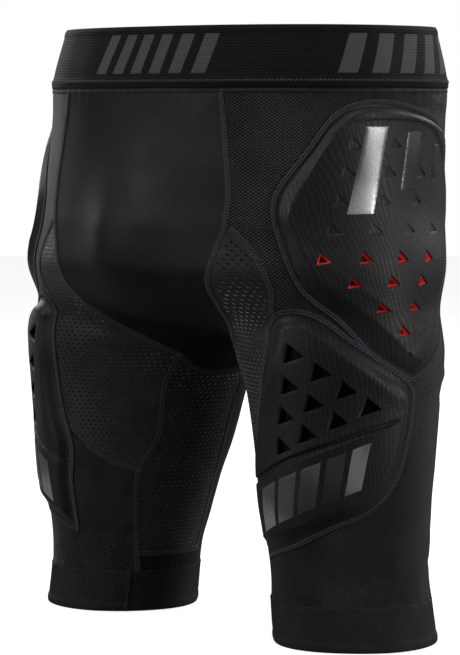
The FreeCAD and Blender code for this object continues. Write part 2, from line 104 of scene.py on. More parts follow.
INNER_BACK_SEAM = ((238, 211), (238, 170), (236, 120), (235, 80), (235, INNER_HEM_Z))
CROTCH = ((-68, 219), (-82, 207), (-96, 203), (-109, 204), (-122, 211))

PADS = {
    "hip": {
        "top": ((38, 388), (48, 411), (58, 422), (72, 425), (90, 422), (109, 415), (123, 406)),
        "outer": ((123, 406), (127, 380), (127, 334), (121, 290), (112, 248), (98, 225)),
        "bottom": ((28, 298), (33, 279), (46, 258), (61, 232), (76, 217), (85, 213), (98, 225)),
        "inner": ((38, 388), (26, 360), (23, 343), (24, 326), (28, 298)),
    },
    "thigh": {
        "top": ((12, 252), (17, 262), (26, 265), (36, 260), (53, 239), (75, 216), (83, 208)),
        "outer": ((83, 208), (88, 197), (90, 171), (87, 145), (80, 124)),
        "bottom": ((-18, 68), (0, 75), (21, 83), (47, 99), (68, 110), (80, 124)),
        "inner": ((12, 252), (10, 232), (-4, 175), (-13, 140), (-14, 103), (-18, 68)),
    },
}
HIP_HOLE_ROWS = (
    (392, 57, 22, 2), (370, 53, 21.5, 3), (348, 49.5, 20.5, 3), (325, 45.5, 18.5, 4),
    (304, 41, 17.2, 4), (287, 52.5, 17, 3), (267, 64, 16.5, 2), (248, 73.5, 16, 1),
)
HOLES = {"hip": (10.5, -20.0), "thigh": (17.0, -8.0)}      # a triangle's side, and where it points
THIGH_HOLE_START = (24.9, 232.6)
THIGH_HOLE_ALONG = (12.7, -13.3)
THIGH_HOLE_DOWN = (-1.1, -24.0)
THIGH_HOLE_ROWS = (4, 3, 2, 1)
HIP_EMBLEM = (
    ((63, 406), (75, 406), (64, 338), (52, 338)),
    ((88, 402), (98, 402), (90, 356), (80, 356)),
    ((108, 392), (114, 392), (110, 366), (104, 366)),
)
THIGH_EMBLEM_START = 3.0
THIGH_EMBLEM_WIDTHS = (12.5, 11.5, 10.5, 9.5, 8.5)
THIGH_EMBLEM_GAP = 3.0
THIGH_EMBLEM_SLANT = 4.0
THIGH_EMBLEM_TOP = (123.0, 0.64)
THIGH_EMBLEM_BOTTOM = (90.0, 0.58)
TAILBONE = ((408.0, 27.0), (296.0, 15.0))   # top and bottom: height, half angle

# ---- Dimensions of the detail ----

BAR_DARKNESS = {"hip": (0.0, 0.8, 0.9), "thigh": (0.0, 0.1, 0.6, 0.9, 0.1)}
OPEN_BELOW = 310.0          # hip holes under this height go through to the red foam
RIM = 3.0                   # flat sewn rim round a pad
SEWN_RIM = 1.35             # its height, where the seam lies on it
PAD_EDGE = 1.5              # height at the rim's inner edge, where a pad's relief starts
HIP_BEVEL = 5.7             # how far the hip pad's bevel and its raised border rise from there
HIP_BORDER = 6.7
HIP_CROWN = 7.2             # height of the hip pad's face
HIP_RIDGE = ((33, 300), (58, 268), (78, 240))       # a low swelling runs along both sides of this
RIDGE_BELOW = 312.0
UPPER_Z = (352, 45)         # the raised border fades in over these, height and phi: start and run
UPPER_PHI = (60, 30)
THIGH_RISE = 6.1            # how far the thigh pad rises
THIGH_SLOPE = 9.5           # and over what width
THIGH_SUNK = 0.5            # how far its lattice lies below its border
FOAM_GAP = 0.15             # between a cover and its foam
FOAM_INSET = 4.5            # between their outlines
FOAM_LOWEST = 1.4
PIT_DEPTH = 3.4             # of the pits in the foam below the openings
BAR_THICKNESS = 0.3
COVER_SPACING = 1.5         # widths of the triangles in the meshes
FOAM_SPACING = 3.0
BAR_SPACING = 1.6
BAR_OUTLINE_SPACING = 1.5
HIP_FACE = ((57, 409), (82, 411), (101, 408), (112, 397), (121, 368), (121, 341), (111, 311),
            (98, 266), (89, 236), (82, 228), (67, 247), (50, 274), (36, 297), (30, 322),
            (29, 340), (37, 368), (47, 395))
THIGH_GROOVES = (           # line, depth, half width
    (((-20, 122), (6, 137), (25, 150), (43, 161), (62, 173), (78, 181)), 2.3, 2.7),
    (((-19, 79), (6, 88), (30, 97.5), (41, 103), (54, 111)), 1.3, 2.8),
)
THIGH_HOLLOW = ((17, 252), (30, 243), (56, 219), (83, 190), (60, 172), (22, 149), (7, 142), (10, 190))
SLOT_LENGTH = 2.7           # perforations of the vent fabric
SLOT_WIDTH = 1.25
SLOT_LEAN = -24.0
SLOT_PITCH = (5.5, 3.4)
SLOT_MARGIN = 3.4
SEAM_TAPE = 4.0             # width of the flatlock seams
STITCH_LENGTH = 1.8
STITCH_PITCH = 2.3
PAD_TAPE = 3.9              # width of the seam round a pad
PAD_TAPE_OUTSIDE = 0.6      # how far outside the pad's edge it runs
PAD_STITCH_PITCH = 1.35
SEAM_STEP = 2.0             # spacing of the places that a seam's line is worked out at

# Soft folds in the cloth, on both sides: two ends, height and half width
FOLDS = (
    ((22, -118, 262), (66, -122, 312), 1.6, 7.0),
    ((34, -88, 236), (84, -112, 268), 1.5, 6.0),
    ((50, -70, 218), (92, -100, 236), 1.1, 5.0),
    ((104, -112, 330), (126, -100, 372), 0.9, 7.0),
    ((120, -96, 420), (168, -40, 431), 1.3, 4.0),
    ((100, -108, 428), (130, -92, 414), -0.9, 5.0),
    ((178, 20, 428), (150, 78, 421), 1.2, 4.5),
    ((20, 98, 250), (92, 116, 262), -1.8, 8.0),
    ((18, 80, 232), (110, 92, 238), 1.7, 6.0),
    ((150, 60, 205), (190, 30, 214), 1.5, 5.0),
    ((158, 60, 190), (192, 24, 196), -1.2, 5.0),
    ((188, 22, 82), (150, 44, 74), 1.2, 5.0),
    ((190, 10, 66), (160, 42, 58), -1.0, 4.0),
    ((110, -78, 58), (160, -78, 52), 0.9, 5.0),
    ((100, -70, 50), (84, -36, 62), 0.9, 5.0),
    ((60, 40, 160), (62, -10, 150), 1.0, 6.0),
)
LIP = 1.4                   # how far the elastics lap over the panels
WAIST_SEAM_Z = 434.2        # the tape under the waistband, and the zigzag on its lower edge
ZIGZAG_Z = 441.6
WAIST_RIB_PITCH = 2.2
CUFF_RIBS = 220
CUFF_JOINT = 298.0          # where the cuff's ends are sewn together, in degrees about the leg
GRIPPER_SPAN = (5.0, 17.0)
BAND_COLUMNS = {"waistband": 640, "cuff": 880, "gripper": 360}
PUCKER = 0.35               # small gathers where the panels meet the elastics
PUCKER_PITCH = 11.0
PUCKER_REACH = (8.0, 7.0)   # how far the gathers run on from the waistband and from a cuff
ROUGH_GIRTH = 960.0         # once round the waist, to space the gathers
RAY_STEP = 10.0             # a ray steps out of the body, and then its last step is halved
RAY_END = 400.0
RAY_HALVINGS = 13
SLOPE_STEP = 0.3

STUDIO_FILL = 0.16
SOFT_BOXES = (      # name, place, size, power
    ("key", (-1.0, -2.3, 1.5), (0.9, 1.3), 32),
    ("side", (2.5, 0.9, 0.9), (0.5, 1.8), 34),
    ("back", (0.2, 2.4, 1.6), (1.6, 1.0), 24),
    ("far_side", (-2.4, 0.6, 1.2), (0.8, 1.6), 22),
    ("top", (0.0, -0.3, 2.8), (1.2, 1.2), 20),
)


# ---- The body surface ----

def smooth(t):
    """An eased step, from 0 at t = 0 to 1 at t = 1."""
    t = np.clip(t, 0, 1)
    return t * t * (3 - 2 * t)


def tangents(table):
    """A slope at each station of a table, so that the curve through them never overshoots."""
    rates = np.diff(table[:, 1:], axis=0) / np.diff(table[:, :1], axis=0)
    a, b = rates[:-1], rates[1:]
    total = np.where(a + b == 0, 1.0, a + b)
    middle = np.where(a * b <= 0, 0.0, 2 * a * b / total)
    return np.concatenate([rates[:1], middle, rates[-1:]])


TANGENTS = {id(TORSO): tangents(TORSO), id(LEG): tangents(LEG)}


def profile(table, z):
    """The table's columns at each height, run smoothly through its stations."""
    heights = table[:, 0]
    slopes = TANGENTS[id(table)]
    z = np.clip(z, heights[0], heights[-1])
    i = np.clip(np.searchsorted(heights, z, side="right") - 1, 0, len(heights) - 2)
    span = heights[i + 1] - heights[i]
    t = ((z - heights[i]) / span)[:, None]
    span = span[:, None]
    values = table[:, 1:]
    mixed = ((2 * t ** 3 - 3 * t ** 2 + 1) * values[i] + (t ** 3 - 2 * t ** 2 + t) * span * slopes[i]
             + (3 * t ** 2 - 2 * t ** 3) * values[i + 1] + (t ** 3 - t ** 2) * span * slopes[i + 1])
    return mixed.T


def soft_minimum(a, b):
    """The lower of two distances, rounded off where they are close."""
    share = np.maximum(BLEND - np.abs(a - b), 0.0) / BLEND
    return np.minimum(a, b) - share * share * BLEND / 4


def body_field(p):
    """Negative inside the wearer's body, zero on the cloth's inner face."""
    x, y, z = p.T
    half_width, front, back, centre = profile(TORSO, z)
    depth = np.where(y < centre, front, back)
    bowl = np.maximum((TORSO_FLOOR - z) / TORSO_BOWL, 0.0)
    total = (np.abs(x / half_width) ** TORSO_POWER + np.abs((y - centre) / depth) ** TORSO_POWER
             + bowl ** TORSO_POWER)
    torso = (total ** (1 / TORSO_POWER) - 1) * TORSO_SCALE
    centre_x, centre_y, outer, inner = profile(LEG, z)
    legs = []
    for mirrored in (x, -x):
        u = np.abs(mirrored - centre_x - y + centre_y) * math.sqrt(0.5) / outer
        v = np.abs(mirrored - centre_x + y - centre_y) * math.sqrt(0.5) / inner
        legs.append(((u ** LEG_POWER + v ** LEG_POWER) ** (1 / LEG_POWER) - 1) * (outer + inner) / 2)
    field = soft_minimum(soft_minimum(*legs), torso)
    spread = (x / POUCH_WIDTH) ** 2 + ((z - POUCH_Z) / POUCH_HEIGHT) ** 2
    return field - POUCH_DEPTH * np.exp(-spread) * np.clip(-y / POUCH_FADE, 0.0, 1.0)


def fold_height(p):
    """How far the cloth stands off the body: a few soft folds, and gathers beside the elastics."""
    place = np.abs(p) * (1, 0, 0) + p * (0, 1, 1)
    height = np.zeros(len(p))
    for start, end, rise, width in FOLDS:
        start = np.array(start, float)
        run = np.array(end, float) - start
        t = np.clip((place - start) @ run / (run @ run), 0, 1)
        away = np.linalg.norm(place - start - t[:, None] * run, axis=1)
        height += rise * np.sin(np.pi * np.clip(t * 0.86 + 0.07, 0, 1)) * np.exp(-(away / width) ** 2)
    turn = np.arctan2(p[:, 0], -p[:, 1])
    wave = np.sin(turn * ROUGH_GIRTH / PUCKER_PITCH + 1.6 * np.sin(turn * 7))
    gathers = np.zeros(len(p))
    for away, reach in zip((WAISTBAND_BOTTOM - p[:, 2], p[:, 2] - CUFF_TOP), PUCKER_REACH):
        gathers += np.exp(-np.maximum(away, 0) / reach) * (away > 0)
    return height + PUCKER * wave * gathers


def cast(origin, direction):
    """Where rays from inside the body leave it, and the outward normals there."""
    step = direction / np.linalg.norm(direction, axis=1, keepdims=True)
    far = np.full(len(origin), RAY_STEP)
    open_rays = np.arange(len(origin))
    while len(open_rays):
        inside = body_field(origin[open_rays] + step[open_rays] * far[open_rays, None]) < 0
        open_rays = open_rays[inside & (far[open_rays] < RAY_END)]
        far[open_rays] += RAY_STEP
    near = far - RAY_STEP
    for _ in range(RAY_HALVINGS):
        middle = (near + far) / 2
        inside = body_field(origin + step * middle[:, None]) < 0
        near = np.where(inside, middle, near)
        far = np.where(inside, far, middle)
    point = origin + step * near[:, None]
    here = body_field(point)
    slope = np.stack([body_field(point + axis * SLOPE_STEP) - here for axis in np.eye(3)], -1)
    normal = slope / np.linalg.norm(slope, axis=1, keepdims=True)
    return point + normal * fold_height(point)[:, None], normal


def on_side(side, places):
    """Points and normals of (phi, z) places on one side; side is +1 for the wearer's left."""
    phi, z = np.asarray(places, float).T
    twist = LEG_TWIST * smooth((TWIST_TOP - z) / (TWIST_TOP - TWIST_BOTTOM))
    angle = np.radians(phi - side * twist)
    centre_x, centre_y = profile(LEG, z)[:2]
    origin = np.stack([side * centre_x, centre_y, z], -1)
    return cast(origin, np.stack([side * np.sin(angle), -np.cos(angle), np.zeros(len(z))], -1))


def around_torso(angle, z):
    """Points and normals at an angle about the torso's core, from 0 at the front."""
    origin = np.stack([np.zeros(len(z)), np.full(len(z), CORE_Y), z], -1)
    return cast(origin, np.stack([np.sin(angle), -np.cos(angle), np.zeros(len(z))], -1))


# ---- Curves, outlines and flat patches ----

def bend(p0, p1, p2, p3, s):
    """The smooth curve from p1 to p2 that heads from p0 towards p3."""
    return (2 * p1 + (p2 - p0) * s + (2 * p0 - 5 * p1 + 4 * p2 - p3) * s ** 2
            + (3 * p1 - p0 - 3 * p2 + p3) * s ** 3) / 2


def along(points, t):
    """A smooth curve through (phi, z) points, t from 0 to 1 by length."""
    points = np.array(points, float)
    t = np.atleast_1d(t)
    steps = np.hypot(np.diff(points[:, 0]) * MM_PER_DEGREE, np.diff(points[:, 1]))
    total = np.concatenate([[0], np.cumsum(steps)])
    want = t * total[-1]
    i = np.clip(np.searchsorted(total, want, side="right") - 1, 0, len(points) - 2)
    s = ((want - total[i]) / steps[i])[:, None]
    p0 = points[np.maximum(i - 1, 0)]
    p1 = points[i]
    p2 = points[i + 1]
    p3 = points[np.minimum(i + 2, len(points) - 1)]
    return bend(p0, p1, p2, p3, s)


def length_of(points):
    """The length in millimetres of a line through (phi, z) points."""
    steps = np.diff(np.array(points, float), axis=0) * (MM_PER_DEGREE, 1)
    return np.hypot(*steps.T).sum()


def flat(places):
    """(phi, z) places on a flat map in millimetres."""
    return np.asarray(places, float) * (MM_PER_DEGREE, 1)


def unflat(points):
    """Flat map points as (phi, z) places."""
    return np.asarray(points, float) / (MM_PER_DEGREE, 1)


def loop_of(curves, spacing):
    """A closed flat outline, in millimetres, through curves that meet end to end."""
    pieces = []
    for curve in curves:
        count = max(int(length_of(curve) / spacing), 1)
        pieces.append(along(curve, np.arange(count) / count))
    return flat(np.concatenate(pieces))


def pad_loop(outline, spacing=1.6):
    """A pad's closed flat outline, from its four sides."""
    inner = outline["inner"][::-1]
    return loop_of((outline["top"], outline["outer"], outline["bottom"][::-1], inner), spacing)


def closed_loop(places, spacing=1.6):
    """A smooth closed flat outline through (phi, z) places."""
    knots = flat(places)[:, None]
    before, after, beyond = (np.roll(knots, turn, axis=0) for turn in (1, -1, -2))
    curve = bend(before, knots, after, beyond, np.linspace(0, 1, 40, endpoint=False)[None, :, None])
    curve = curve.reshape(-1, 2)
    total = np.cumsum(np.linalg.norm(np.roll(curve, -1, axis=0) - curve, axis=1))
    count = int(total[-1] / spacing)
    return curve[np.searchsorted(total, np.arange(count) * total[-1] / count)]


def signed_area(loop):
    """A closed loop's area, positive when it runs anticlockwise."""
    following = np.roll(loop, -1, axis=0)
    return (loop[:, 0] * following[:, 1] - loop[:, 1] * following[:, 0]).sum() / 2


def away_from(points, line, closed=True):
    """The distance of each flat point from a line of points."""
    starts = line if closed else line[:-1]
    ends = np.roll(line, -1, axis=0) if closed else line[1:]
    nearest = np.full(len(points), 1e9)
    for a, b in zip(starts, ends):
        run = b - a
        t = np.clip((points - a) @ run / max(run @ run, 1e-9), 0, 1)
        nearest = np.minimum(nearest, np.hypot(*(points - a - t[:, None] * run).T))
    return nearest


def within(points, loop):
    """Whether each flat point lies inside a closed loop."""
    inside = np.zeros(len(points), bool)
    x, y = points.T
    for (ax, ay), (bx, by) in zip(loop, np.roll(loop, -1, axis=0)):
        crosses = (ay > y) != (by > y)
        inside ^= crosses & (x < (bx - ax) * (y - ay) / np.where(by == ay, 1e-9, by - ay) + ax)
    return inside


def lattice(loop, pitch_x, pitch_y):
    """Points in staggered rows over the box round a loop."""
    low = loop.min(0)
    high = loop.max(0)
    rows = []
    for row, y in enumerate(np.arange(low[1], high[1], pitch_y)):
        x = np.arange(low[0] + (row % 2) * pitch_x / 2, high[0], pitch_x)
        rows.append(np.stack([x, np.full(len(x), y)], -1))
    return np.concatenate(rows)


def patch(outline, creases, holes, spacing):
    """Triangles that fill a flat outline: creases become edges, and holes stay open."""
    loops = [outline[::-1] if signed_area(outline) < 0 else outline] + list(creases) + list(holes)
    free = np.zeros((0, 2))
    if spacing:
        free = lattice(outline, spacing, spacing * 0.87)
        free = free[within(free, outline)]
        for line in loops:
            close = (np.abs(free - line.mean(0)) < np.abs(line - line.mean(0)).max(0) + spacing).all(1)
            nearby = np.where(close)[0]
            free = np.delete(free, nearby[away_from(free[nearby], line) < spacing * 0.55], axis=0)
    points = np.concatenate(loops + [free])
    rings = []
    start = 0
    for line in loops:
        rings.append(list(range(start, start + len(line))))
        start += len(line)
    edges = [(a, b) for ring in rings for a, b in zip(ring, ring[1:] + ring[:1])]
    regions = [rings[0]] + rings[1 + len(creases):]
    found = delaunay_2d_cdt([Vector(p) for p in points], edges, regions, 1, 1e-4, True)
    kept = [face for face, owners in zip(found[2], found[5]) if list(owners) == [0]]
    used, triangles = np.unique(np.array(kept), return_inverse=True)
    return np.array([tuple(v) for v in found[0]])[used], triangles.reshape(-1, 3)


def heading(degrees):
    """A flat unit vector at an angle."""
    return np.array([math.cos(math.radians(degrees)), math.sin(math.radians(degrees))])


def triangle(phi, z, size, turn, inset=0.0, rounding=0.9, shift=0.0):
    """A three-cornered loop with rounded corners, in flat millimetres."""
    centre = flat([(phi, z)])[0] + heading(turn) * shift
    radius = size / math.sqrt(3) - 2 * inset
    corners = [centre + radius * heading(turn + 120 * corner) for corner in range(3)]
    loop = []
    for i, corner in enumerate(corners):
        for other, share in ((corners[i - 1], 1.0), (centre, 0.42), (corners[(i + 1) % 3], 1.0)):
            loop.append(corner + (other - corner) / np.linalg.norm(other - corner) * rounding * share)
    return np.array(loop)


def hip_holes():
    """Places of the hip pad's triangles."""
    return [(first + step * i, z) for z, first, step, count in HIP_HOLE_ROWS for i in range(count)]


def thigh_holes():
    """Places of the thigh pad's triangles."""
    start, along_row, down = (np.array(p) for p in (THIGH_HOLE_START, THIGH_HOLE_ALONG, THIGH_HOLE_DOWN))
    return [tuple(start + along_row * i + down * row)
            for row, count in enumerate(THIGH_HOLE_ROWS) for i in range(count)]


# ---- Meshes ----

class Piece:
    """Gathers vertices, faces, flat map coordinates and material numbers of one visible piece."""

    def __init__(self):
        self.points = []
        self.faces = []
        self.maps = []
        self.finishes = []
        self.tones = []
        self.count = 0

    def add(self, points, faces, maps, finish=0, tone=None):
        """Adds a skin; tone is a shade at each point, for the material to read."""
        self.points.append(points)
        self.faces += [tuple(i + self.count for i in face) for face in faces]
        self.maps.append(maps)
        self.finishes += [finish] * len(faces)
        self.tones.append(np.zeros(len(points)) if tone is None else tone)
        self.count += len(points)
        return self

    def add_sheet(self, points, normals, faces, maps, low, high, tone=None):
        """Adds cloth or foam that fills from one height to another over a surface."""
        outer = points + normals * np.reshape(high, (-1, 1))
        inner = points + normals * np.reshape(low, (-1, 1))
        tones = None if tone is None else np.concatenate([tone, tone])
        return self.add(*thicken(outer, inner, faces), np.concatenate([maps, maps]), tone=tones)

    def make(self, name, kit, slot, node, wrap=None, sharp=38):
        """The finished object: wrap is the girth of a band, whose map runs on across its join."""
        mesh = bpy.data.meshes.new(name)
        points = (np.concatenate(self.points) + (0, CENTRE_Y, 0)) * MM
        mesh.from_pydata(points.tolist(), [], self.faces)
        mesh.update()
        index = np.empty(len(mesh.loops), np.int32)
        mesh.loops.foreach_get("vertex_index", index)
        maps = np.concatenate(self.maps)[index] * MM
        if wrap:
            corners = maps.reshape(-1, 4, 2)
            over = corners[:, :, 0].max(1, keepdims=True) - corners[:, :, 0] > wrap * MM / 2
            corners[:, :, 0] += over * wrap * MM
            maps = corners.reshape(-1, 2)
        mesh.uv_layers.new(name="flat").data.foreach_set("uv", maps.ravel())
        tone = mesh.attributes.new("tone", "FLOAT", "POINT")
        tone.data.foreach_set("value", np.concatenate(self.tones).astype(np.float32))
        for material in kit[slot]:
            mesh.materials.append(material)
        mesh.polygons.foreach_set("material_index", self.finishes)
        mesh.polygons.foreach_set("use_smooth", [True] * len(mesh.polygons))
        mesh.set_sharp_from_angle(angle=math.radians(sharp))
        piece = bpy.data.objects.new(name, mesh)
        bpy.context.scene.collection.objects.link(piece)
        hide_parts(node)
        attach(piece, "root")
        return piece


def grid_faces(rows, columns, closed=False):
    """Four-cornered faces of a grid of points; a closed one joins its last column to its first."""
    j, i = np.mgrid[0:rows - 1, 0:columns if closed else columns - 1]
    right = (i + 1) % columns
    above = j * columns
    below = above + columns
    return np.stack([above + i, above + right, below + right, below + i], -1).reshape(-1, 4)


def thicken(outer, inner, faces):
    """A closed skin from an outer and an inner face, with its edges joined."""
    corners = outer[faces[:, :3]]
    normal = np.cross(corners[:, 1] - corners[:, 0], corners[:, 2] - corners[:, 0])
    if (normal * (outer - inner)[faces[:, 0]]).sum() < 0:
        faces = faces[:, ::-1]
    count = len(outer)
    size = faces.shape[1]
    edges = np.concatenate([faces[:, [k, (k + 1) % size]] for k in range(size)])
    border = edges[~np.isin(edges[:, 0] * count + edges[:, 1], edges[:, 1] * count + edges[:, 0])]
    rim = np.stack([border[:, 1], border[:, 0], border[:, 0] + count, border[:, 1] + count], -1)
    every = faces.tolist() + (faces[:, ::-1] + count).tolist() + rim.tolist()
    return np.concatenate([outer, inner]), every


def quad_panel(side, top, bottom, left, right, columns, rows):
    """A sheet of cloth between four seams that share their corners."""
    v, u = np.mgrid[0:1:rows * 1j, 0:1:columns * 1j]
    u = u.ravel()[:, None]
    v = v.ravel()[:, None]
    corner = [np.array(p, float) for p in (left[0], right[0], left[-1], right[-1])]
    places = ((1 - u) * along(left, v[:, 0]) + u * along(right, v[:, 0])
              + (1 - v) * along(top, u[:, 0]) + v * along(bottom, u[:, 0])
              - (1 - u) * (1 - v) * corner[0] - u * (1 - v) * corner[1]
              - (1 - u) * v * corner[2] - u * v * corner[3])
    points, normals = on_side(side, places)
    return Piece().add_sheet(points, normals, grid_faces(rows, columns), flat(places), 0, FABRIC)


def fan_panel(edge, columns, rows):
    """A sheet of cloth across the middle, between the same seam on both sides."""
    places = along(edge, np.linspace(0, 1, rows))
    left = on_side(1, places)[0]
    right = on_side(-1, places)[0]
    core = np.stack([np.zeros(rows), np.full(rows, CORE_Y), np.maximum(places[:, 1], CORE_Z)], -1)
    u = np.linspace(0, 1, columns)[None, :, None]
    direction = ((left - core)[:, None] * (1 - u) + (right - core)[:, None] * u).reshape(-1, 3)
    points, normals = cast(np.repeat(core, columns, axis=0), direction)
    maps = points[:, [0, 2]] + np.stack([np.zeros(len(points)), 0.6 * np.abs(points[:, 1])], -1)
    return Piece().add_sheet(points, normals, grid_faces(rows, columns), maps, 0, FABRIC)


def slots(outline):
    """Loops of the slanted perforations inside an outline."""
    centres = lattice(outline, *SLOT_PITCH)
    centres = centres[within(centres, outline)]
    centres = centres[away_from(centres, outline) > SLOT_MARGIN]
    lean = math.radians(SLOT_LEAN)
    turn = np.array([[math.cos(lean), math.sin(lean)], [-math.sin(lean), math.cos(lean)]])
    angles = np.arange(8) * math.pi / 4 + math.pi / 8
    shape = np.stack([np.cos(angles) * SLOT_LENGTH / 2, np.sin(angles) * SLOT_WIDTH / 2], -1) @ turn
    return [centre + shape for centre in centres]


def vent_panel(side, curves):
    """A sheet of perforated cloth, its slots cut right through."""
    outline = loop_of(curves, 2.5)
    points, faces = patch(outline, (), slots(outline), 0)
    surface, normals = on_side(side, unflat(points))
    piece = Piece().add_sheet(surface, normals, faces, points, 0, FABRIC)
    walls = len(piece.faces) - 2 * len(faces)
    # the slot walls take the second material, whose pale colour is painted light through the slots
    piece.finishes[-walls:] = [1] * walls
    return piece


# ---- Pads ----

def with_rim(edge, height):
    """A pad's height over the cloth: the flat sewn rim, and the relief inside it."""
    return np.where(edge < RIM, SEWN_RIM + (PAD_EDGE - SEWN_RIM) * edge / RIM, height)


def hip_relief(points, outline, face):
    """The hip pad's height over the cloth: a rim, a bevel, and a face under a raised border."""
    edge = away_from(points, outline)
    face_edge = away_from(points, face)
    inside = within(points, face)
    across = np.clip((edge - RIM) / np.maximum(edge - RIM + face_edge, 1e-6), 0, 1)
    bevel = PAD_EDGE + HIP_BEVEL * across
    border = PAD_EDGE + HIP_BORDER * np.sqrt(np.clip((edge - RIM) / 4.5, 0, 1))
    border -= 0.9 * smooth(1 - face_edge / 1.6)
    upper = (smooth((points[:, 1] - UPPER_Z[0]) / UPPER_Z[1])
             * smooth((points[:, 0] - UPPER_PHI[0]) / UPPER_PHI[1]))
    outside = bevel * (1 - upper) + border * upper
    crown = HIP_CROWN + 0.7 * smooth(face_edge / 28)
    ridge = away_from(points, flat(HIP_RIDGE), closed=False)
    crown += 0.35 * np.exp(-((ridge - 9) / 2.5) ** 2) * (points[:, 1] < RIDGE_BELOW)
    return with_rim(edge, np.where(inside, crown, outside))


def thigh_relief(points, outline, hollow):
    """The thigh pad's height: a rim, a rounded border, a sunk lattice and two grooves."""
    edge = away_from(points, outline)
    height = PAD_EDGE + THIGH_RISE * smooth((edge - RIM) / THIGH_SLOPE)
    height -= THIGH_SUNK * (within(points, hollow) * smooth(away_from(points, hollow) / 9.0))
    for groove, depth, width in THIGH_GROOVES:
        line = flat(along(groove, np.linspace(0, 1, 40)))
        away = away_from(points, line, closed=False)
        fade = smooth((line[-1, 0] + 6 - points[:, 0]) / 14)
        height -= depth * fade * smooth((width - away) / 1.4) * (edge > RIM)
    return with_rim(edge, np.maximum(height, 1.6))


def pad_shape(kind):
    """One kind of pad's outline, the crease lines in its relief, and the relief itself."""
    outline = pad_loop(PADS[kind])
    if kind == "hip":
        face = closed_loop(HIP_FACE)
        return outline, [face], lambda points: hip_relief(points, outline, face)
    hollow = closed_loop(THIGH_HOLLOW)
    return outline, [], lambda points: thigh_relief(points, outline, hollow)


def shrink(loop, distance):
    """A closed loop drawn in by a distance."""
    ahead = np.roll(loop, -1, axis=0) - np.roll(loop, 1, axis=0)
    across = np.stack([ahead[:, 1], -ahead[:, 0]], -1) / np.linalg.norm(ahead, axis=1, keepdims=True)
    return loop - across * distance * np.sign(signed_area(loop))


def pad_holes(kind):
    """Each triangle's place, its lip, the edge inside that, and whether it goes through the cover."""
    size, turn = HOLES[kind]
    holes = []
    for place in hip_holes() if kind == "hip" else thigh_holes():
        lip = triangle(*place, size, turn)
        if kind == "hip":
            edge = triangle(*place, size, turn, inset=0.45, rounding=0.6)
            holes.append((place, lip, edge, place[1] < OPEN_BELOW))
        else:
            edge = triangle(*place, size * 0.86, turn, rounding=0.7, shift=0.7)
            holes.append((place, lip, edge, True))
    return holes


def hole_depth(kind, through, reach):
    """How deep a triangle's wall sinks; reach runs from its blunt side, below 0, to its point."""
    if kind == "thigh":
        return 0.6 + 2.6 * np.clip(reach + 0.35, 0, 1)
    if through:
        return 0.7
    return 0.25 + 0.8 * np.clip(reach + 0.3, 0, 1)


def pit_floor(kind, place):
    """The floor of the pit in the foam below an opening."""
    size, turn = HOLES[kind]
    if kind == "thigh":
        return triangle(*place, size * 0.72, turn, rounding=0.6, shift=1.0)
    return triangle(*place, size, turn, inset=2.0, rounding=0.4, shift=-0.6)


def pad_cover(side, kind):
    """The moulded cover: its relief, the triangles' sloping walls, and the openings."""
    outline, creases, relief = pad_shape(kind)
    holes = pad_holes(kind)
    lips = [lip for _, lip, _, _ in holes]
    ledges = [edge for _, _, edge, through in holes if not through]
    openings = [edge for _, _, edge, through in holes if through]
    creases = creases + [shrink(outline, RIM)] + lips + ledges
    points, faces = patch(outline, creases, openings, COVER_SPACING)
    height = relief(points)
    size, turn = HOLES[kind]
    for place, lip, _, through in holes:
        away = points - flat([place])[0]
        index = np.where(np.abs(away).max(1) < size)[0]
        sunk = index[within(points[index], lip) & (away_from(points[index], lip) > 0.12)]
        height[sunk] -= hole_depth(kind, through, away[sunk] @ heading(turn) / size)
    surface, normals = on_side(side, unflat(points))
    low = np.maximum(height - COVER_SKIN, np.minimum(PAD_FLOOR, height - 0.3))
    return Piece().add_sheet(surface, normals, faces, points, low, height)


def pad_foam(side, kind):
    """The foam under the cover, with a pit below each opening; the pit floors get a tone of 1, which the
    foam's material turns into painted shade.
    """
    outline, _, relief = pad_shape(kind)
    outline = shrink(outline, FOAM_INSET)[::2]
    pits = [(place, edge) for place, _, edge, through in pad_holes(kind) if through]
    floors = [pit_floor(kind, place) for place, _ in pits]
    points, faces = patch(outline, [edge for _, edge in pits] + floors, (), FOAM_SPACING)
    height = relief(points) - COVER_SKIN - FOAM_GAP
    tone = np.zeros(len(points))
    for (place, edge), floor in zip(pits, floors):
        index = np.where(np.abs(points - flat([place])[0]).max(1) < HOLES[kind][0])[0]
        near = points[index]
        height[index[within(near, edge) | (away_from(near, edge) < 0.05)]] -= 0.1
        deep = index[within(near, floor) | (away_from(near, floor) < 0.05)]
        height[deep] -= PIT_DEPTH
        # painted shade: a tone of 1 darkens the pit floor's colour, for the shade in the pit
        tone[deep] = 1.0
    height = np.maximum(height, FOAM_LOWEST)
    surface, normals = on_side(side, unflat(points))
    return Piece().add_sheet(surface, normals, faces, points, PAD_FLOOR, height, tone)


def thigh_emblem_bars():
    """The four corners of each bar on the thigh pad."""
    bars = []
    start = THIGH_EMBLEM_START
    for width in THIGH_EMBLEM_WIDTHS:
        end = start + width
        top = [(phi, THIGH_EMBLEM_TOP[0] + THIGH_EMBLEM_TOP[1] * phi) for phi in (start, end)]
        bottom = [(phi - THIGH_EMBLEM_SLANT, THIGH_EMBLEM_BOTTOM[0] + THIGH_EMBLEM_BOTTOM[1] * phi)
                  for phi in (end, start)]
        bars.append(top + bottom)
        start = end + THIGH_EMBLEM_GAP
    return bars


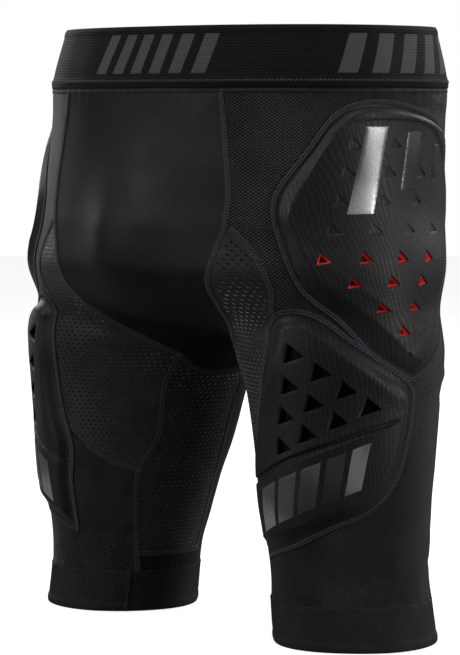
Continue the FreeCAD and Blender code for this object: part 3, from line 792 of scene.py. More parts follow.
def pad_emblem(side, kind):
    """Slanted glossy bars that follow the cover."""
    relief = pad_shape(kind)[2]
    bars = HIP_EMBLEM if kind == "hip" else thigh_emblem_bars()
    piece = Piece()
    for bar, dark in zip(bars, BAR_DARKNESS[kind]):
        outline = loop_of(list(zip(bar, (*bar[1:], bar[0]))), BAR_OUTLINE_SPACING)
        points, faces = patch(outline, (), (), BAR_SPACING)
        height = relief(points) + 0.08 + BAR_THICKNESS * smooth(away_from(points, outline) / 0.8)
        surface, normals = on_side(side, unflat(points))
        shade = np.full(len(points), dark)
        piece.add_sheet(surface, normals, faces, points, height - BAR_THICKNESS, height, shade)
    return piece


def tailbone(low, high, rim):
    """The tailbone pad's grid, with a sewn rim and a soft crowned face between three channels."""
    rows = 75
    columns = 75
    v, u = (part.ravel() for part in np.mgrid[0:1:rows * 1j, -1:1:columns * 1j])
    (top, top_angle), (bottom, bottom_angle) = TAILBONE
    half = top_angle + (bottom_angle - top_angle) * v
    corner = 1 - 0.07 * np.clip((np.abs(v - 0.5) * 2) ** 6, 0, 1)
    z = top + (bottom - top) * (0.5 + (v - 0.5) * (1 - 0.05 * u ** 6))
    angle = np.radians(180 - half * u * corner)
    points, normals = around_torso(angle, z)
    across = u * half * BACK_MM_PER_DEGREE
    edge = np.minimum((1 - np.abs(u)) * half * BACK_MM_PER_DEGREE, (0.5 - np.abs(v - 0.5)) * (top - bottom))
    height = low + (high - low) * smooth((edge - rim) / 8)
    quilted = smooth((edge - rim) / 9)
    for channel in (-0.42, 0.0, 0.42):
        height -= 1.3 * np.exp(-((across - channel * 50) / 1.6) ** 2) * quilted
    return points, normals, grid_faces(rows, columns), np.stack([across, z], -1), height


def tailbone_cover():
    """The tailbone pad's moulded cloth."""
    *sheet, height = tailbone(1.4, 6.6, RIM)
    return Piece().add_sheet(*sheet, np.maximum(height - COVER_SKIN, PAD_FLOOR - 0.2), height)


def tailbone_foam():
    """The tailbone pad's core."""
    *sheet, height = tailbone(0.95, 5.3, RIM + 2.5)
    return Piece().add_sheet(*sheet, PAD_FLOOR - 0.05, np.minimum(height, 5.4))


# ---- Stitching ----

def resample(points, normals, spacing, closed):
    """Evenly spaced places along a line on the cloth, with their directions."""
    if closed:
        points = np.concatenate([points, points[:1]])
        normals = np.concatenate([normals, normals[:1]])
    total = np.concatenate([[0], np.cumsum(np.linalg.norm(np.diff(points, axis=0), axis=1))])
    count = max(int(total[-1] / spacing), 3)
    want = np.linspace(0, total[-1], count, endpoint=not closed)
    centre = np.stack([np.interp(want, total, column) for column in points.T], -1)
    normal = np.stack([np.interp(want, total, column) for column in normals.T], -1)
    normal /= np.linalg.norm(normal, axis=1, keepdims=True)
    if closed:
        ahead = np.roll(centre, -1, axis=0) - np.roll(centre, 1, axis=0)
    else:
        ahead = np.gradient(centre, axis=0)
    ahead -= normal * (ahead * normal).sum(1, keepdims=True)
    ahead /= np.linalg.norm(ahead, axis=1, keepdims=True)
    return centre, normal, ahead, np.cross(normal, ahead), want


def add_tape(piece, points, normals, width, base, crown, closed, finish=0):
    """A low rounded strip of cloth along a line."""
    centre, normal, _, across, want = resample(points, normals, 1.3, closed)
    section = ((-0.5, base - 0.35), (-0.5, base), (-0.34, base + 0.75 * crown), (0, base + crown),
               (0.34, base + 0.75 * crown), (0.5, base), (0.5, base - 0.35))
    lines = [centre + across * width * s + normal * h for s, h in section]
    count = len(centre)
    skin = np.concatenate(lines)
    faces = []
    for k in range(len(section)):
        line = k * count
        following = (k + 1) % len(section) * count
        for i in range(count if closed else count - 1):
            ahead = (i + 1) % count
            faces.append((line + i, line + ahead, following + ahead, following + i))
    if not closed:
        faces.append(tuple(k * count for k in range(len(section))))
        faces.append(tuple(k * count + count - 1 for k in reversed(range(len(section)))))
    maps = np.concatenate([np.stack([want, np.full(count, s * width)], -1) for s, _ in section])
    piece.add(skin, faces, maps, finish)


def add_stitches(piece, centre, direction, normal, length, radius, finish=1):
    """Short plump threads, one at each place."""
    sides = 5
    stations = ((-0.5, 0.35, -0.9), (-0.3, 0.95, 0.0), (0.0, 1.1, 0.25),
                (0.3, 0.95, 0.0), (0.5, 0.35, -0.9))     # place along it, swell and lift
    direction = direction / np.linalg.norm(direction, axis=1, keepdims=True)
    across = np.cross(normal, direction)
    rings = []
    for place, swell, lift in stations:
        for k in range(sides):
            angle = 2 * math.pi * k / sides
            rings.append(centre + direction * length * place + across * radius * swell * math.cos(angle)
                         + normal * radius * (swell * math.sin(angle) + lift))
    each = len(stations) * sides
    template = []
    for ring in range(0, each - sides, sides):
        for k in range(sides):
            other = (k + 1) % sides
            template.append((ring + k, ring + other, ring + sides + other, ring + sides + k))
    template += [tuple(reversed(range(sides))), tuple(range(each - sides, each))]
    skin = np.stack(rings, 1).reshape(-1, 3)
    faces = [tuple(i + each * n for i in face) for n in range(len(centre)) for face in template]
    maps = np.stack([np.tile(np.repeat([s[0] * length for s in stations], sides), len(centre)),
                     np.tile(np.arange(sides) * radius, len(centre) * len(stations))], -1)
    piece.add(skin, faces, maps, finish)


def add_flatlock(piece, points, normals, base):
    """A flat seam: two lines of thread with a looper thread laid to and fro between them."""
    add_tape(piece, points, normals, SEAM_TAPE, base, 0.4, False)
    centre, normal, ahead, across, _ = resample(points, normals, STITCH_PITCH, False)
    edge = SEAM_TAPE * 0.42
    for sign in (-1, 1):
        row = centre + across * edge * sign + normal * (base + 0.42)
        add_stitches(piece, row, ahead, normal, STITCH_LENGTH, 0.30)
        lean = across * edge * 1.9 + ahead * STITCH_PITCH * 0.5 * sign
        middle = centre + ahead * STITCH_PITCH * 0.25 * (1 + sign) + normal * (base + 0.44)
        add_stitches(piece, middle, lean, normal, edge * 1.95, 0.19)


def add_overlock(piece, points, normals, base):
    """A close seam: two rows of short slanted stitches, leaning opposite ways."""
    add_tape(piece, points, normals, PAD_TAPE, base, 0.45, True)
    centre, normal, ahead, across, _ = resample(points, normals, PAD_STITCH_PITCH, True)
    for sign in (-1, 1):
        row = centre + across * PAD_TAPE * 0.25 * sign + normal * (base + 0.5)
        add_stitches(piece, row, across + ahead * 0.55 * sign, normal, PAD_TAPE * 0.46, 0.33)


def seams(side, curves):
    """Flatlock seams on the cloth along (phi, z) curves."""
    piece = Piece()
    for curve in curves:
        count = max(int(length_of(curve) / SEAM_STEP), 8)
        points, normals = on_side(side, along(curve, np.linspace(0, 1, count)))
        add_flatlock(piece, points, normals, FABRIC)
    return piece


def pad_seam(side, kind):
    """The close overlock seam round a pad's rim."""
    loop = shrink(pad_loop(PADS[kind], SEAM_STEP), -PAD_TAPE_OUTSIDE)
    piece = Piece()
    add_overlock(piece, *on_side(side, unflat(loop)), SEWN_RIM)
    return piece


# ---- Elastic bands ----

def band(section, heights, offsets, columns):
    """A closed band round the body and its girth; offsets gives the two faces' heights at a level."""
    turns = np.linspace(0, 2 * math.pi, columns, endpoint=False)
    rings = [section(turns, z) for z in heights]
    girth = np.linalg.norm(np.diff(rings[0][0], axis=0), axis=1).sum() * columns / (columns - 1)
    points, normals = (np.concatenate(part) for part in zip(*rings))
    level = normals * (1, 1, 0)
    level /= np.linalg.norm(level, axis=1, keepdims=True)
    low, high = (np.concatenate([np.zeros(columns) + offset for offset in part])
                 for part in zip(*(offsets(turns, z) for z in heights)))
    around = turns / (2 * math.pi) * girth
    maps = np.concatenate([np.stack([around, np.full(columns, z)], -1) for z in heights])
    faces = grid_faces(len(heights), columns, closed=True)
    return Piece().add_sheet(points, level, faces, maps, low, high), girth


def torso_ring(turns, z):
    """A level ring of points and normals round the torso."""
    return around_torso(turns, np.full(len(turns), float(z)))


def leg_ring(side):
    """The same round one leg, as a function of the turns and the height."""
    return lambda turns, z: on_side(side, np.stack([np.degrees(turns), np.full(len(turns), float(z))], -1))


def hump(z, middle, width):
    """A smooth rise of 1 at a height."""
    return math.exp(-((z - middle) / width) ** 2)


def waistband():
    """Wide elastic with swollen edges and woven ribs that run round it."""
    bottom = WAISTBAND_BOTTOM - LIP
    heights = np.concatenate([[bottom, bottom + 0.3, bottom + 0.9, 437.6], np.linspace(438.6, 482.6, 60),
                              [483.9, 484.7, TOTAL_HEIGHT]])

    def offsets(turns, z):
        edge = min(z - bottom, TOTAL_HEIGHT - z)
        wall = WAISTBAND_WALL - 0.5 * (1 - smooth(edge / 1.6))
        over = (FABRIC + 0.1) * smooth(438.4 - z)
        swell = 0.9 * hump(z, 441, 3.0) + 0.5 * hump(z, 481.5, 2.2)
        ribs = 0.10 * math.sin(2 * math.pi * z / WAIST_RIB_PITCH) * smooth(edge / 3)
        wave = 0.35 * np.sin(turns * 9 + z / 20) * np.exp(-((z - bottom) / 16)) + 0.12 * np.sin(turns * 23)
        hem = 0.35 * (1 - smooth((TOTAL_HEIGHT - z) / 1.2))
        return hem + over, wall + swell + ribs + wave

    return band(torso_ring, heights, offsets, BAND_COLUMNS["waistband"])


def waist_stitching():
    """The join under the waistband, and the zigzag that holds its lower edge."""
    turns = np.linspace(0, 2 * math.pi, 480, endpoint=False)
    piece = Piece()
    add_tape(piece, *torso_ring(turns, WAIST_SEAM_Z), 3.6, FABRIC, 0.7, True)
    centre, normal, ahead, across, _ = resample(*torso_ring(turns, ZIGZAG_Z), 1.5, True)
    flip = np.where(np.arange(len(centre)) % 2, 1.0, -1.0)[:, None]
    row = centre + normal * (WAISTBAND_WALL + 1.05)
    add_stitches(piece, row, ahead * 1.2 + across * 1.7 * flip, normal, 2.3, 0.24)
    return piece


def cuff(side):
    """Ribbed knit elastic with a rolled hem and a sewn joint at the inseam."""
    top = CUFF_TOP + LIP
    heights = np.concatenate([[0, 0.25, 0.9], np.linspace(2.2, 31.6, 22),
                              [32.8, 33.6, 34.4, top - 0.4, top]])

    def offsets(turns, z):
        ribs = 0.16 * np.sin(turns * CUFF_RIBS)
        joint = 0.7 * np.exp(-((np.degrees(turns) - CUFF_JOINT) / 1.6) ** 2)
        wall = CUFF_WALL - 0.4 * (1 - smooth(min(z, top - z) / 1.3))
        over = (FABRIC + 0.1) * smooth(z - 32.8)
        swell = 0.55 * hump(z, 4, 3.0) - 0.25 * hump(z, 8.5, 1.1)
        wave = 0.45 * np.sin(turns * 5 + side) * math.exp(-z / 16)
        hem = 0.35 * (1 - smooth(z / 1.2))
        return hem + over, wall + swell + ribs + joint + wave

    return band(leg_ring(side), heights, offsets, BAND_COLUMNS["cuff"])


def gripper(side):
    """A silicone band with wavy printed lines inside the cuff."""
    def offsets(turns, z):
        lines = 0.5 + 0.5 * np.cos(2 * math.pi * (z + 0.8 * np.sin(turns * 40)) / 4)
        return -0.25 - (GRIPPER_WALL - 0.25) * lines, 0

    return band(leg_ring(side), np.linspace(*GRIPPER_SPAN, 25), offsets, BAND_COLUMNS["gripper"])


def label():
    """A small woven label inside the back of the waistband."""
    v, u = (part.ravel() for part in np.mgrid[0:1:15j, -1:1:21j])
    z = 446.0 - 20.0 * v
    points, normals = around_torso(math.pi - np.radians(6.0 * u), z)
    points -= normals * (0.25 * np.sin(u * 3) ** 2)[:, None]
    maps = np.stack([u * 13, z], -1)
    return Piece().add_sheet(points, normals, grid_faces(15, 21), maps, -0.9, -0.4)


# ---- Materials ----

class Finish:
    """A procedural material, built up from the flat map in metres."""

    def __init__(self, name, roughness, specular=0.4, sheen=0.0):
        self.material = bpy.data.materials.new(name)
        self.material.use_nodes = True
        tree = self.material.node_tree
        self.nodes = tree.nodes
        self.links = tree.links
        self.nodes.clear()
        output = self.nodes.new("ShaderNodeOutputMaterial")
        self.surface = self.nodes.new("ShaderNodeBsdfPrincipled")
        self.links.new(self.surface.outputs["BSDF"], output.inputs["Surface"])
        self.surface.inputs["Roughness"].default_value = roughness
        self.surface.inputs["Specular IOR Level"].default_value = specular
        self.surface.inputs["Sheen Weight"].default_value = sheen
        self.surface.inputs["Sheen Roughness"].default_value = 0.45
        self.map = self.nodes.new("ShaderNodeTexCoord").outputs["UV"]
        split = self.nodes.new("ShaderNodeSeparateXYZ")
        self.links.new(self.map, split.inputs[0])
        self.x = split.outputs["X"]
        self.y = split.outputs["Y"]

    def feed(self, socket, value):
        """Links a socket to another, or sets it to a number."""
        if isinstance(value, bpy.types.NodeSocket):
            self.links.new(value, socket)
        else:
            socket.default_value = value

    def math(self, operation, a, b=0.0, c=0.0):
        """One sum on sockets or numbers."""
        node = self.nodes.new("ShaderNodeMath")
        node.operation = operation
        for socket, value in zip(node.inputs, (a, b, c)):
            self.feed(socket, value)
        return node.outputs[0]

    def wave(self, pitch, angle=0.0, bend=None):
        """A cosine across the map, from -1 to 1, one turn in each pitch."""
        turn = math.radians(angle)
        place = self.math("MULTIPLY_ADD", self.x, 2 * math.pi * math.cos(turn) / pitch,
                          self.math("MULTIPLY", self.y, 2 * math.pi * math.sin(turn) / pitch))
        if bend is not None:
            place = self.math("ADD", place, bend)
        return self.math("COSINE", place)

    def total(self, *terms):
        """The sum of several sockets, each with its share."""
        scaled = [value if share == 1 else self.math("MULTIPLY", value, share) for value, share in terms]
        result = scaled[0]
        for value in scaled[1:]:
            result = self.math("ADD", result, value)
        return result

    def noise(self, size, detail=2.0, stretch=(1.0, 1.0)):
        """Cloudy noise from 0 to 1; its spots are about as wide as size, in metres."""
        mapping = self.nodes.new("ShaderNodeMapping")
        self.links.new(self.map, mapping.inputs["Vector"])
        mapping.inputs["Scale"].default_value = (stretch[0] / size, stretch[1] / size, 1)
        node = self.nodes.new("ShaderNodeTexNoise")
        node.noise_dimensions = "2D"
        self.links.new(mapping.outputs[0], node.inputs["Vector"])
        node.inputs["Scale"].default_value = 1.0
        node.inputs["Detail"].default_value = detail
        return node.outputs["Fac"]

    def level(self, value, low, high, start=0.0, end=1.0):
        """A smooth step from start to end as the value goes from low to high."""
        node = self.nodes.new("ShaderNodeMapRange")
        node.interpolation_type = "SMOOTHSTEP"
        for name, number in (("From Min", low), ("From Max", high), ("To Min", start), ("To Max", end)):
            node.inputs[name].default_value = number
        self.links.new(value, node.inputs["Value"])
        return node.outputs["Result"]

    def mix(self, share, a, b):
        """A colour between two, each a socket or three numbers."""
        node = self.nodes.new("ShaderNodeMix")
        node.data_type = "RGBA"
        self.feed(node.inputs["Factor"], share)
        for name, value in (("A", a), ("B", b)):
            socket = next(s for s in node.inputs if s.name == name and s.type == "RGBA")
            self.feed(socket, value if isinstance(value, bpy.types.NodeSocket) else (*value, 1))
        return next(s for s in node.outputs if s.type == "RGBA")

    def tint(self, noise, dark, pale, low=0.3, high=0.7):
        """A colour that goes from dark to pale with a noise."""
        return self.mix(self.level(noise, low, high), dark, pale)

    def tone(self):
        """The shade that the mesh holds at its points: dark print on the bars, painted shade in the foam's
        pits.
        """
        node = self.nodes.new("ShaderNodeAttribute")
        node.attribute_name = "tone"
        return node.outputs["Fac"]

    def colour(self, value):
        self.feed(self.surface.inputs["Base Color"], value)

    def roughness(self, value):
        self.feed(self.surface.inputs["Roughness"], value)

    def finished(self, height, distance, strength=1.0):
        """The material, with a relief in metres over its whole surface."""
        node = self.nodes.new("ShaderNodeBump")
        node.inputs["Distance"].default_value = distance
        node.inputs["Strength"].default_value = strength
        self.links.new(height, node.inputs["Height"])
        self.links.new(node.outputs[0], self.surface.inputs["Normal"])
        return self.material


def lycra():
    """Smooth stretch knit: fine wales, a soft uneven sheen."""
    f = Finish("smooth_lycra", 0.5, 0.17, 0.03)
    knit = f.math("MULTIPLY", f.wave(0.0011), f.wave(0.0009, 90))
    cloud = f.noise(0.035, 4)
    grain = f.noise(0.0012)
    shade = f.total((cloud, 0.7), (grain, 0.3))
    f.colour(f.tint(shade, (0.0045, 0.0042, 0.0045), (0.0090, 0.0084, 0.0090)))
    f.roughness(f.level(cloud, 0.3, 0.7, 0.46, 0.58))
    return f.finished(f.total((knit, 0.5), (grain, 1)), 0.00012, 0.6)


def fine_mesh():
    """Honeycomb mesh: staggered pores between knitted cords; the pores are painted near-black as shade in
    the holes.
    """
    f = Finish("fine_mesh", 0.6, 0.28, 0.05)
    pores = f.math("MULTIPLY", f.wave(0.0030), f.wave(0.0026, 90))
    cords = f.tint(f.noise(0.03, 3), (0.0105, 0.0093, 0.0094), (0.024, 0.0215, 0.0218))
    # painted shade: the pores take a near-black colour for the shade inside the holes
    f.colour(f.tint(pores, cords, (0.002, 0.002, 0.002), 0.15, 0.6))
    f.roughness(f.level(pores, -0.5, 0.7, 0.5, 0.8))
    return f.finished(f.math("MULTIPLY", pores, -1.0), 0.0006)


def vent_cloth():
    """The perforated panels: a dense knit with a slight diagonal."""
    f = Finish("vent_mesh", 0.5, 0.3, 0.08)
    twill = f.wave(0.0010, 55)
    grain = f.noise(0.0015)
    f.colour(f.tint(f.noise(0.03, 3), (0.013, 0.0125, 0.0135), (0.022, 0.021, 0.0225)))
    f.roughness(f.level(grain, 0.3, 0.7, 0.44, 0.58))
    return f.finished(f.total((twill, 0.4), (grain, 1)), 0.00014, 0.7)


def painted_light_slot_walls():
    """The walls of the perforations, painted pale: painted light that stands for the light seen through the
    slots.
    """
    f = Finish("painted_light_slot_walls", 0.6, 0.3)
    yarn = f.noise(0.0008)
    # painted light: pale walls for the light that shows through the slots
    f.colour(f.tint(yarn, (0.16, 0.16, 0.164), (0.40, 0.40, 0.405)))
    return f.finished(yarn, 0.0001, 0.6)


def cover_cloth():
    """Moulded pad covering: a fine rib with faint contour lines like wood grain."""
    f = Finish("pad_cover", 0.5, 0.26, 0.05)
    warp = f.noise(0.045, 2, (1.0, 0.6))
    contour = f.wave(0.0034, 12, f.math("MULTIPLY", warp, 42.0))
    rib = f.wave(0.0010, 84)
    grain = f.noise(0.0016)
    shade = f.total((contour, 0.10), (f.noise(0.04, 3), 1))
    f.colour(f.tint(shade, (0.0085, 0.008, 0.0085), (0.0165, 0.0155, 0.0165), 0.28, 0.75))
    f.roughness(f.level(f.math("ADD", contour, grain), -0.8, 1.6, 0.42, 0.58))
    return f.finished(f.total((contour, 0.22), (rib, 0.3), (grain, 0.8)), 0.00018, 0.7)


def emblem_print():
    """Glossy printed film, from silver to dark along each bar."""
    f = Finish("emblem_print", 0.3, 0.55)
    shade = f.total((f.wave(0.085, 62), 0.35), (f.noise(0.012, 2, (1.0, 0.25)), 0.35))
    silver = f.tint(shade, (0.10, 0.10, 0.102), (0.34, 0.335, 0.335), -0.1, 0.55)
    f.colour(f.mix(f.tone(), silver, (0.012, 0.012, 0.0125)))
    f.surface.inputs["Metallic"].default_value = 0.35
    f.surface.inputs["Coat Weight"].default_value = 0.3
    f.surface.inputs["Coat Roughness"].default_value = 0.25
    grain = f.noise(0.0011)
    f.roughness(f.level(grain, 0.3, 0.7, 0.26, 0.36))
    return f.finished(grain, 0.00005, 0.5)


def waist_elastic(girth):
    """Woven elastic: heathered dark ground, and groups of plain slanted bars in grey."""
    bar_pitch = 0.026
    f = Finish("elastic", 0.72, 0.12, 0.04)
    twill = f.wave(0.0013, 38)
    heather = f.noise(0.0009, 2, (1.0, 0.35))
    slant = f.math("MULTIPLY_ADD", f.y, -0.42, f.x)
    group = girth * MM / 4
    along_group = f.math("MODULO", f.math("ADD", slant, 4 * group), group)
    cell = f.math("MODULO", along_group, bar_pitch)
    bars = f.math("MULTIPLY", f.level(cell, 0.0020, 0.0024), f.level(cell, 0.0172, 0.0168))
    bars = f.math("MULTIPLY", bars, f.level(along_group, 0.1560, 0.1556))
    rows = f.math("MULTIPLY", f.level(f.y, 0.4475, 0.4479), f.level(f.y, 0.4785, 0.4781))
    motif = f.math("MULTIPLY", bars, rows)
    yarn = f.level(f.total((heather, 1.5), (twill, 1)), -0.6, 1.8)
    ground = f.mix(yarn, (0.0020, 0.0017, 0.0021), (0.0075, 0.0062, 0.0073))
    woven = f.mix(yarn, (0.034, 0.032, 0.034), (0.105, 0.099, 0.104))
    f.colour(f.mix(motif, ground, woven))
    height = f.total((twill, 0.4), (f.wave(0.0022, 90), 0.4), (motif, 1.2), (heather, 1))
    return f.finished(height, 0.0003, 0.7)


def cuff_elastic():
    """Ribbed knit of the leg cuffs."""
    f = Finish("cuff_elastic", 0.7, 0.22, 0.08)
    heather = f.noise(0.0010)
    shade = f.total((heather, 0.6), (f.noise(0.02, 3), 0.4))
    f.colour(f.tint(shade, (0.0085, 0.008, 0.0092), (0.018, 0.017, 0.0195)))
    return f.finished(f.total((f.wave(0.0012, 90), 0.5), (heather, 1)), 0.0002, 0.7)


def thread():
    """Bulky seam thread, grey with a little violet."""
    f = Finish("thread", 0.62, 0.35, 0.2)
    ply = f.wave(0.0007, 40)
    shade = f.total((ply, 0.3), (f.noise(0.004), 1))
    f.colour(f.tint(shade, (0.040, 0.036, 0.050), (0.120, 0.108, 0.145), 0.1, 0.9))
    return f.finished(ply, 0.00008, 0.6)


def seam_tape():
    """The overlapped cloth under the seam threads."""
    f = Finish("seam_tape", 0.65, 0.3, 0.12)
    grain = f.noise(0.0012)
    f.colour(f.tint(grain, (0.004, 0.0038, 0.0044), (0.009, 0.0085, 0.0100)))
    return f.finished(f.total((f.wave(0.0011), 0.5), (grain, 1)), 0.0002, 0.7)


def foam(name, lit, deep, gloss):
    """Closed-cell foam; painted shade darkens its pit floors, where the tone is 1."""
    f = Finish(name, 0.6, gloss)
    cells = f.noise(0.0009)
    face = f.tint(cells, tuple(c * 0.75 for c in lit), lit)
    # painted shade: the colour goes from the foam's own to the dark one where the tone marks a pit floor
    f.colour(f.tint(f.tone(), face, deep, 0.55, 0.95))
    return f.finished(cells, 0.0002, 0.8)


def silicone():
    """Printed silicone."""
    f = Finish("silicone", 0.35, 0.5)
    skin = f.noise(0.003)
    f.colour(f.tint(skin, (0.010, 0.010, 0.011), (0.018, 0.018, 0.019)))
    return f.finished(skin, 0.0001, 0.5)


def woven_label():
    """Satin label tape with plain woven stripes."""
    f = Finish("label", 0.45, 0.45, 0.1)
    weave = f.math("MULTIPLY", f.wave(0.0005), f.wave(0.0006, 90))
    f.colour(f.tint(f.wave(0.005, 90), (0.02, 0.02, 0.021), (0.20, 0.20, 0.20), 0.55, 0.7))
    return f.finished(weave, 0.0001, 0.6)


# ---- Assembly ----


def build_centre(kit):
    """The pieces that cross the middle: waistband, front, seat, gusset, tailbone pad and label."""
    elastic, girth = waistband()
    kit["elastic"] = [waist_elastic(girth)]
    piece = elastic.make("waistband_elastic", kit, "elastic", "waistband", wrap=girth)
    waist_stitching().make("waistband_seam", kit, "thread", "waistband_stitching")
    piece = fan_panel(FRONT_SEAM, 91, 111).make("front_cloth", kit, "smooth_lycra", "front_panel")
    seat = fan_panel(BACK_SEAM + SEAT_FOLD[1:], 121, 111)
    piece = seat.make("seat_cloth", kit, "smooth_lycra", "seat_panel")
    piece = fan_panel(CROTCH, 41, 41).make("gusset_cloth", kit, "smooth_lycra", "crotch_gusset")
    piece = tailbone_cover().make("tailbone_cover", kit, "pad_cover", "tailbone_pad_cover")
    piece = tailbone_foam().make("tailbone_foam", kit, "black_foam", "tailbone_pad_foam")
    piece = label().make("woven_label", kit, "label", "size_label")


def build_panels(side, name, kit):
    """The cloth panels of one leg."""
    upper = tuple(p for p in FRONT_SEAM if p[1] >= 330)
    left = upper + VENT_EDGE[1:] + VENT_HEM[1:] + LOWER_INSEAM[1:]
    right = BACK_SEAM + OUTER_LEG_SEAM[1:]
    mesh = quad_panel(side, (left[0], right[0]), (left[-1], right[-1]), left, right, 111, 211)
    piece = mesh.make(f"{name}_side_mesh", kit, "fine_mesh", f"{name}_side_mesh_panel")

    front = (GROIN_TOP,) + tuple(p for p in FRONT_SEAM if p[1] < GROIN_TOP[1])
    edges = ((GROIN_TOP, VENT_EDGE[0]), VENT_EDGE, VENT_HEM, INSEAM[::-1], front[::-1])
    piece = vent_panel(side, edges).make(f"{name}_groin_vent", kit, "vent_mesh", f"{name}_groin_vent_panel")

    back = tuple((phi - 360, z) for phi, z in INNER_BACK_SEAM)
    inner_left = INSEAM + LOWER_INSEAM[1:3] + (INNER_HEM[0],)
    thigh = vent_panel(side, (CROTCH, back, INNER_HEM[::-1], inner_left[::-1]))
    piece = thigh.make(f"{name}_inner_thigh_vent", kit, "vent_mesh", f"{name}_inner_thigh_vent_panel")

    hem_left = ((-66, INNER_HEM_Z - 0.3), (-68, PANEL_BOTTOM))
    hem_right = ((-125, INNER_HEM_Z - 0.3), (-125, PANEL_BOTTOM))
    top, bottom = zip(hem_left, hem_right)
    hem = quad_panel(side, top, bottom, hem_left, hem_right, 41, 13)
    piece = hem.make(f"{name}_inner_hem", kit, "smooth_lycra", f"{name}_inner_hem_panel")

    below = INNER_BACK_SEAM + ((235, PANEL_BOTTOM),)
    rear = quad_panel(side, SEAT_FOLD, (OUTER_LEG_SEAM[-1], below[-1]), OUTER_LEG_SEAM, below, 71, 111)
    piece = rear.make(f"{name}_back_thigh", kit, "smooth_lycra", f"{name}_back_thigh_panel")


def build_pads(side, name, kit):
    """One side's hip and thigh pads: cover, foam, printed bars and the seam round them."""
    for kind, core in (("hip", "red_foam"), ("thigh", "black_foam")):
        pad = f"{name}_{kind}"
        cover = pad_cover(side, kind)
        piece = cover.make(f"{pad}_cover", kit, "pad_cover", f"{pad}_pad_cover", sharp=32)
        piece = pad_foam(side, kind).make(f"{pad}_foam", kit, core, f"{pad}_pad_foam", sharp=25)
        pad_emblem(side, kind).make(f"{pad}_bars", kit, "emblem_print", f"{pad}_pad_emblem")
        pad_seam(side, kind).make(f"{pad}_pad_seam", kit, "thread", f"{pad}_pad_stitching")


def build_seams(side, name, kit):
    """The flatlock seams of one leg."""
    lines = {
        "front_seam": (FRONT_SEAM,),
        "inseam": (INSEAM + LOWER_INSEAM[1:], INNER_HEM, CROTCH, INNER_BACK_SEAM),
        "back_seam": (BACK_SEAM + OUTER_LEG_SEAM[1:],),
        "seat_fold": (SEAT_FOLD,),
        "vent_edge": (VENT_EDGE[:5],),
        "vent_hem": (VENT_HEM[1:],),
    }
    for part, curves in lines.items():
        seams(side, curves).make(f"{name}_{part}", kit, "thread", f"{name}_{part}_stitching")


def build_cuff(side, name, kit):
    """A leg's elastic cuff and the gripper inside it."""
    elastic, girth = cuff(side)
    piece = elastic.make(f"{name}_cuff", kit, "cuff_elastic", f"{name}_leg_cuff", wrap=girth)
    grip, girth = gripper(side)
    grip.make(f"{name}_gripper", kit, "silicone", f"{name}_cuff_gripper", wrap=girth)


def build_shorts():
    """Every piece of the shorts; kit holds each slot's materials."""
    kit = {
        "smooth_lycra": [lycra()],
        "fine_mesh": [fine_mesh()],
        "vent_mesh": [vent_cloth(), painted_light_slot_walls()],
        "pad_cover": [cover_cloth()],
        "emblem_print": [emblem_print()],
        "cuff_elastic": [cuff_elastic()],
        "thread": [seam_tape(), thread()],
        # each foam: its own colour, the dark colour of painted shade for its pit floors, and its gloss
        "red_foam": [foam("red_foam", (1.0, 0.05, 0.035), (0.004, 0.003, 0.003), 0.35)],
        "black_foam": [foam("black_foam", (0.006, 0.006, 0.006), (0.0015, 0.0015, 0.0015), 0.08)],
        "silicone": [silicone()],
        "label": [woven_label()],
    }
    build_centre(kit)
    for side, name in ((1, "left"), (-1, "right")):
        build_panels(side, name, kit)
        build_pads(side, name, kit)
        build_seams(side, name, kit)
        build_cuff(side, name, kit)


# ---- Floor, light and camera ----

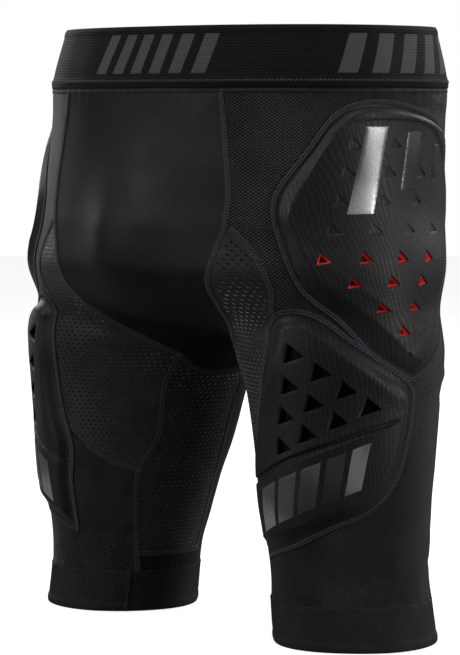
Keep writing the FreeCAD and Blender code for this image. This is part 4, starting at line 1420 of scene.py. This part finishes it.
def build_floor():
    """A pale floor that fades into the white surroundings."""
    bpy.ops.mesh.primitive_circle_add(vertices=96, radius=6.0, fill_type="NGON", location=(0, 0, -0.0006))
    floor = bpy.context.object
    floor.name = "floor"
    material = bpy.data.materials.new("pale_floor")
    material.use_nodes = True
    surface = material.node_tree.nodes["Principled BSDF"]
    surface.inputs["Base Color"].default_value = (0.5, 0.5, 0.5, 1)
    surface.inputs["Roughness"].default_value = 0.9
    surface.inputs["Specular IOR Level"].default_value = 0.0
    surface.inputs["Emission Color"].default_value = (1, 1, 1, 1)
    surface.inputs["Emission Strength"].default_value = 0.86
    floor.data.materials.append(material)
    floor.visible_diffuse = False
    floor.visible_glossy = False


def area_light(name, place, size, power):
    """A soft box that faces the middle of the shorts."""
    data = bpy.data.lights.new(name, "AREA")
    data.shape = "RECTANGLE"
    data.size, data.size_y = size
    data.energy = power
    light = bpy.data.objects.new(name, data)
    bpy.context.scene.collection.objects.link(light)
    light.location = place
    light.rotation_euler = (Vector((0, 0, 0.25)) - Vector(place)).to_track_quat("-Z", "Y").to_euler()


def build_light():
    """White surroundings for the camera, and a dim studio with soft boxes for the cloth."""
    bpy.context.scene.view_settings.view_transform = "Standard"
    world = bpy.data.worlds.new("studio")
    world.use_nodes = True
    nodes = world.node_tree.nodes
    links = world.node_tree.links
    seen = nodes["Background"]
    seen.inputs["Color"].default_value = (1, 1, 1, 1)
    seen.inputs["Strength"].default_value = 1.0
    fill = nodes.new("ShaderNodeBackground")
    fill.inputs["Strength"].default_value = STUDIO_FILL
    mix = nodes.new("ShaderNodeMixShader")
    links.new(nodes.new("ShaderNodeLightPath").outputs["Is Camera Ray"], mix.inputs[0])
    links.new(fill.outputs[0], mix.inputs[1])
    links.new(seen.outputs[0], mix.inputs[2])
    links.new(mix.outputs[0], nodes["World Output"].inputs["Surface"])
    bpy.context.scene.world = world
    for name, place, size, power in SOFT_BOXES:
        area_light(name, place, size, power)


def build_camera():
    """A camera a little above the shorts, between their front and the wearer's left side."""
    turn = math.radians(45)
    distance = 2.4
    aside = 0.0165      # moves the shorts a little right of the frame's middle
    target = Vector((-aside * math.cos(turn), CENTRE_Y * MM - aside * math.sin(turn), 0.24))
    place = Vector((distance * math.sin(turn), CENTRE_Y * MM - distance * math.cos(turn), 0.42))
    data = bpy.data.cameras.new("camera")
    data.sensor_fit = "VERTICAL"
    data.sensor_height = 24.0
    data.lens = 106.8
    camera = bpy.data.objects.new("camera", data)
    bpy.context.scene.collection.objects.link(camera)
    camera.location = place
    camera.rotation_euler = (target - place).to_track_quat("-Z", "Y").to_euler()
    bpy.context.scene.camera = camera


build_camera()
build_shorts()
build_floor()
build_light()
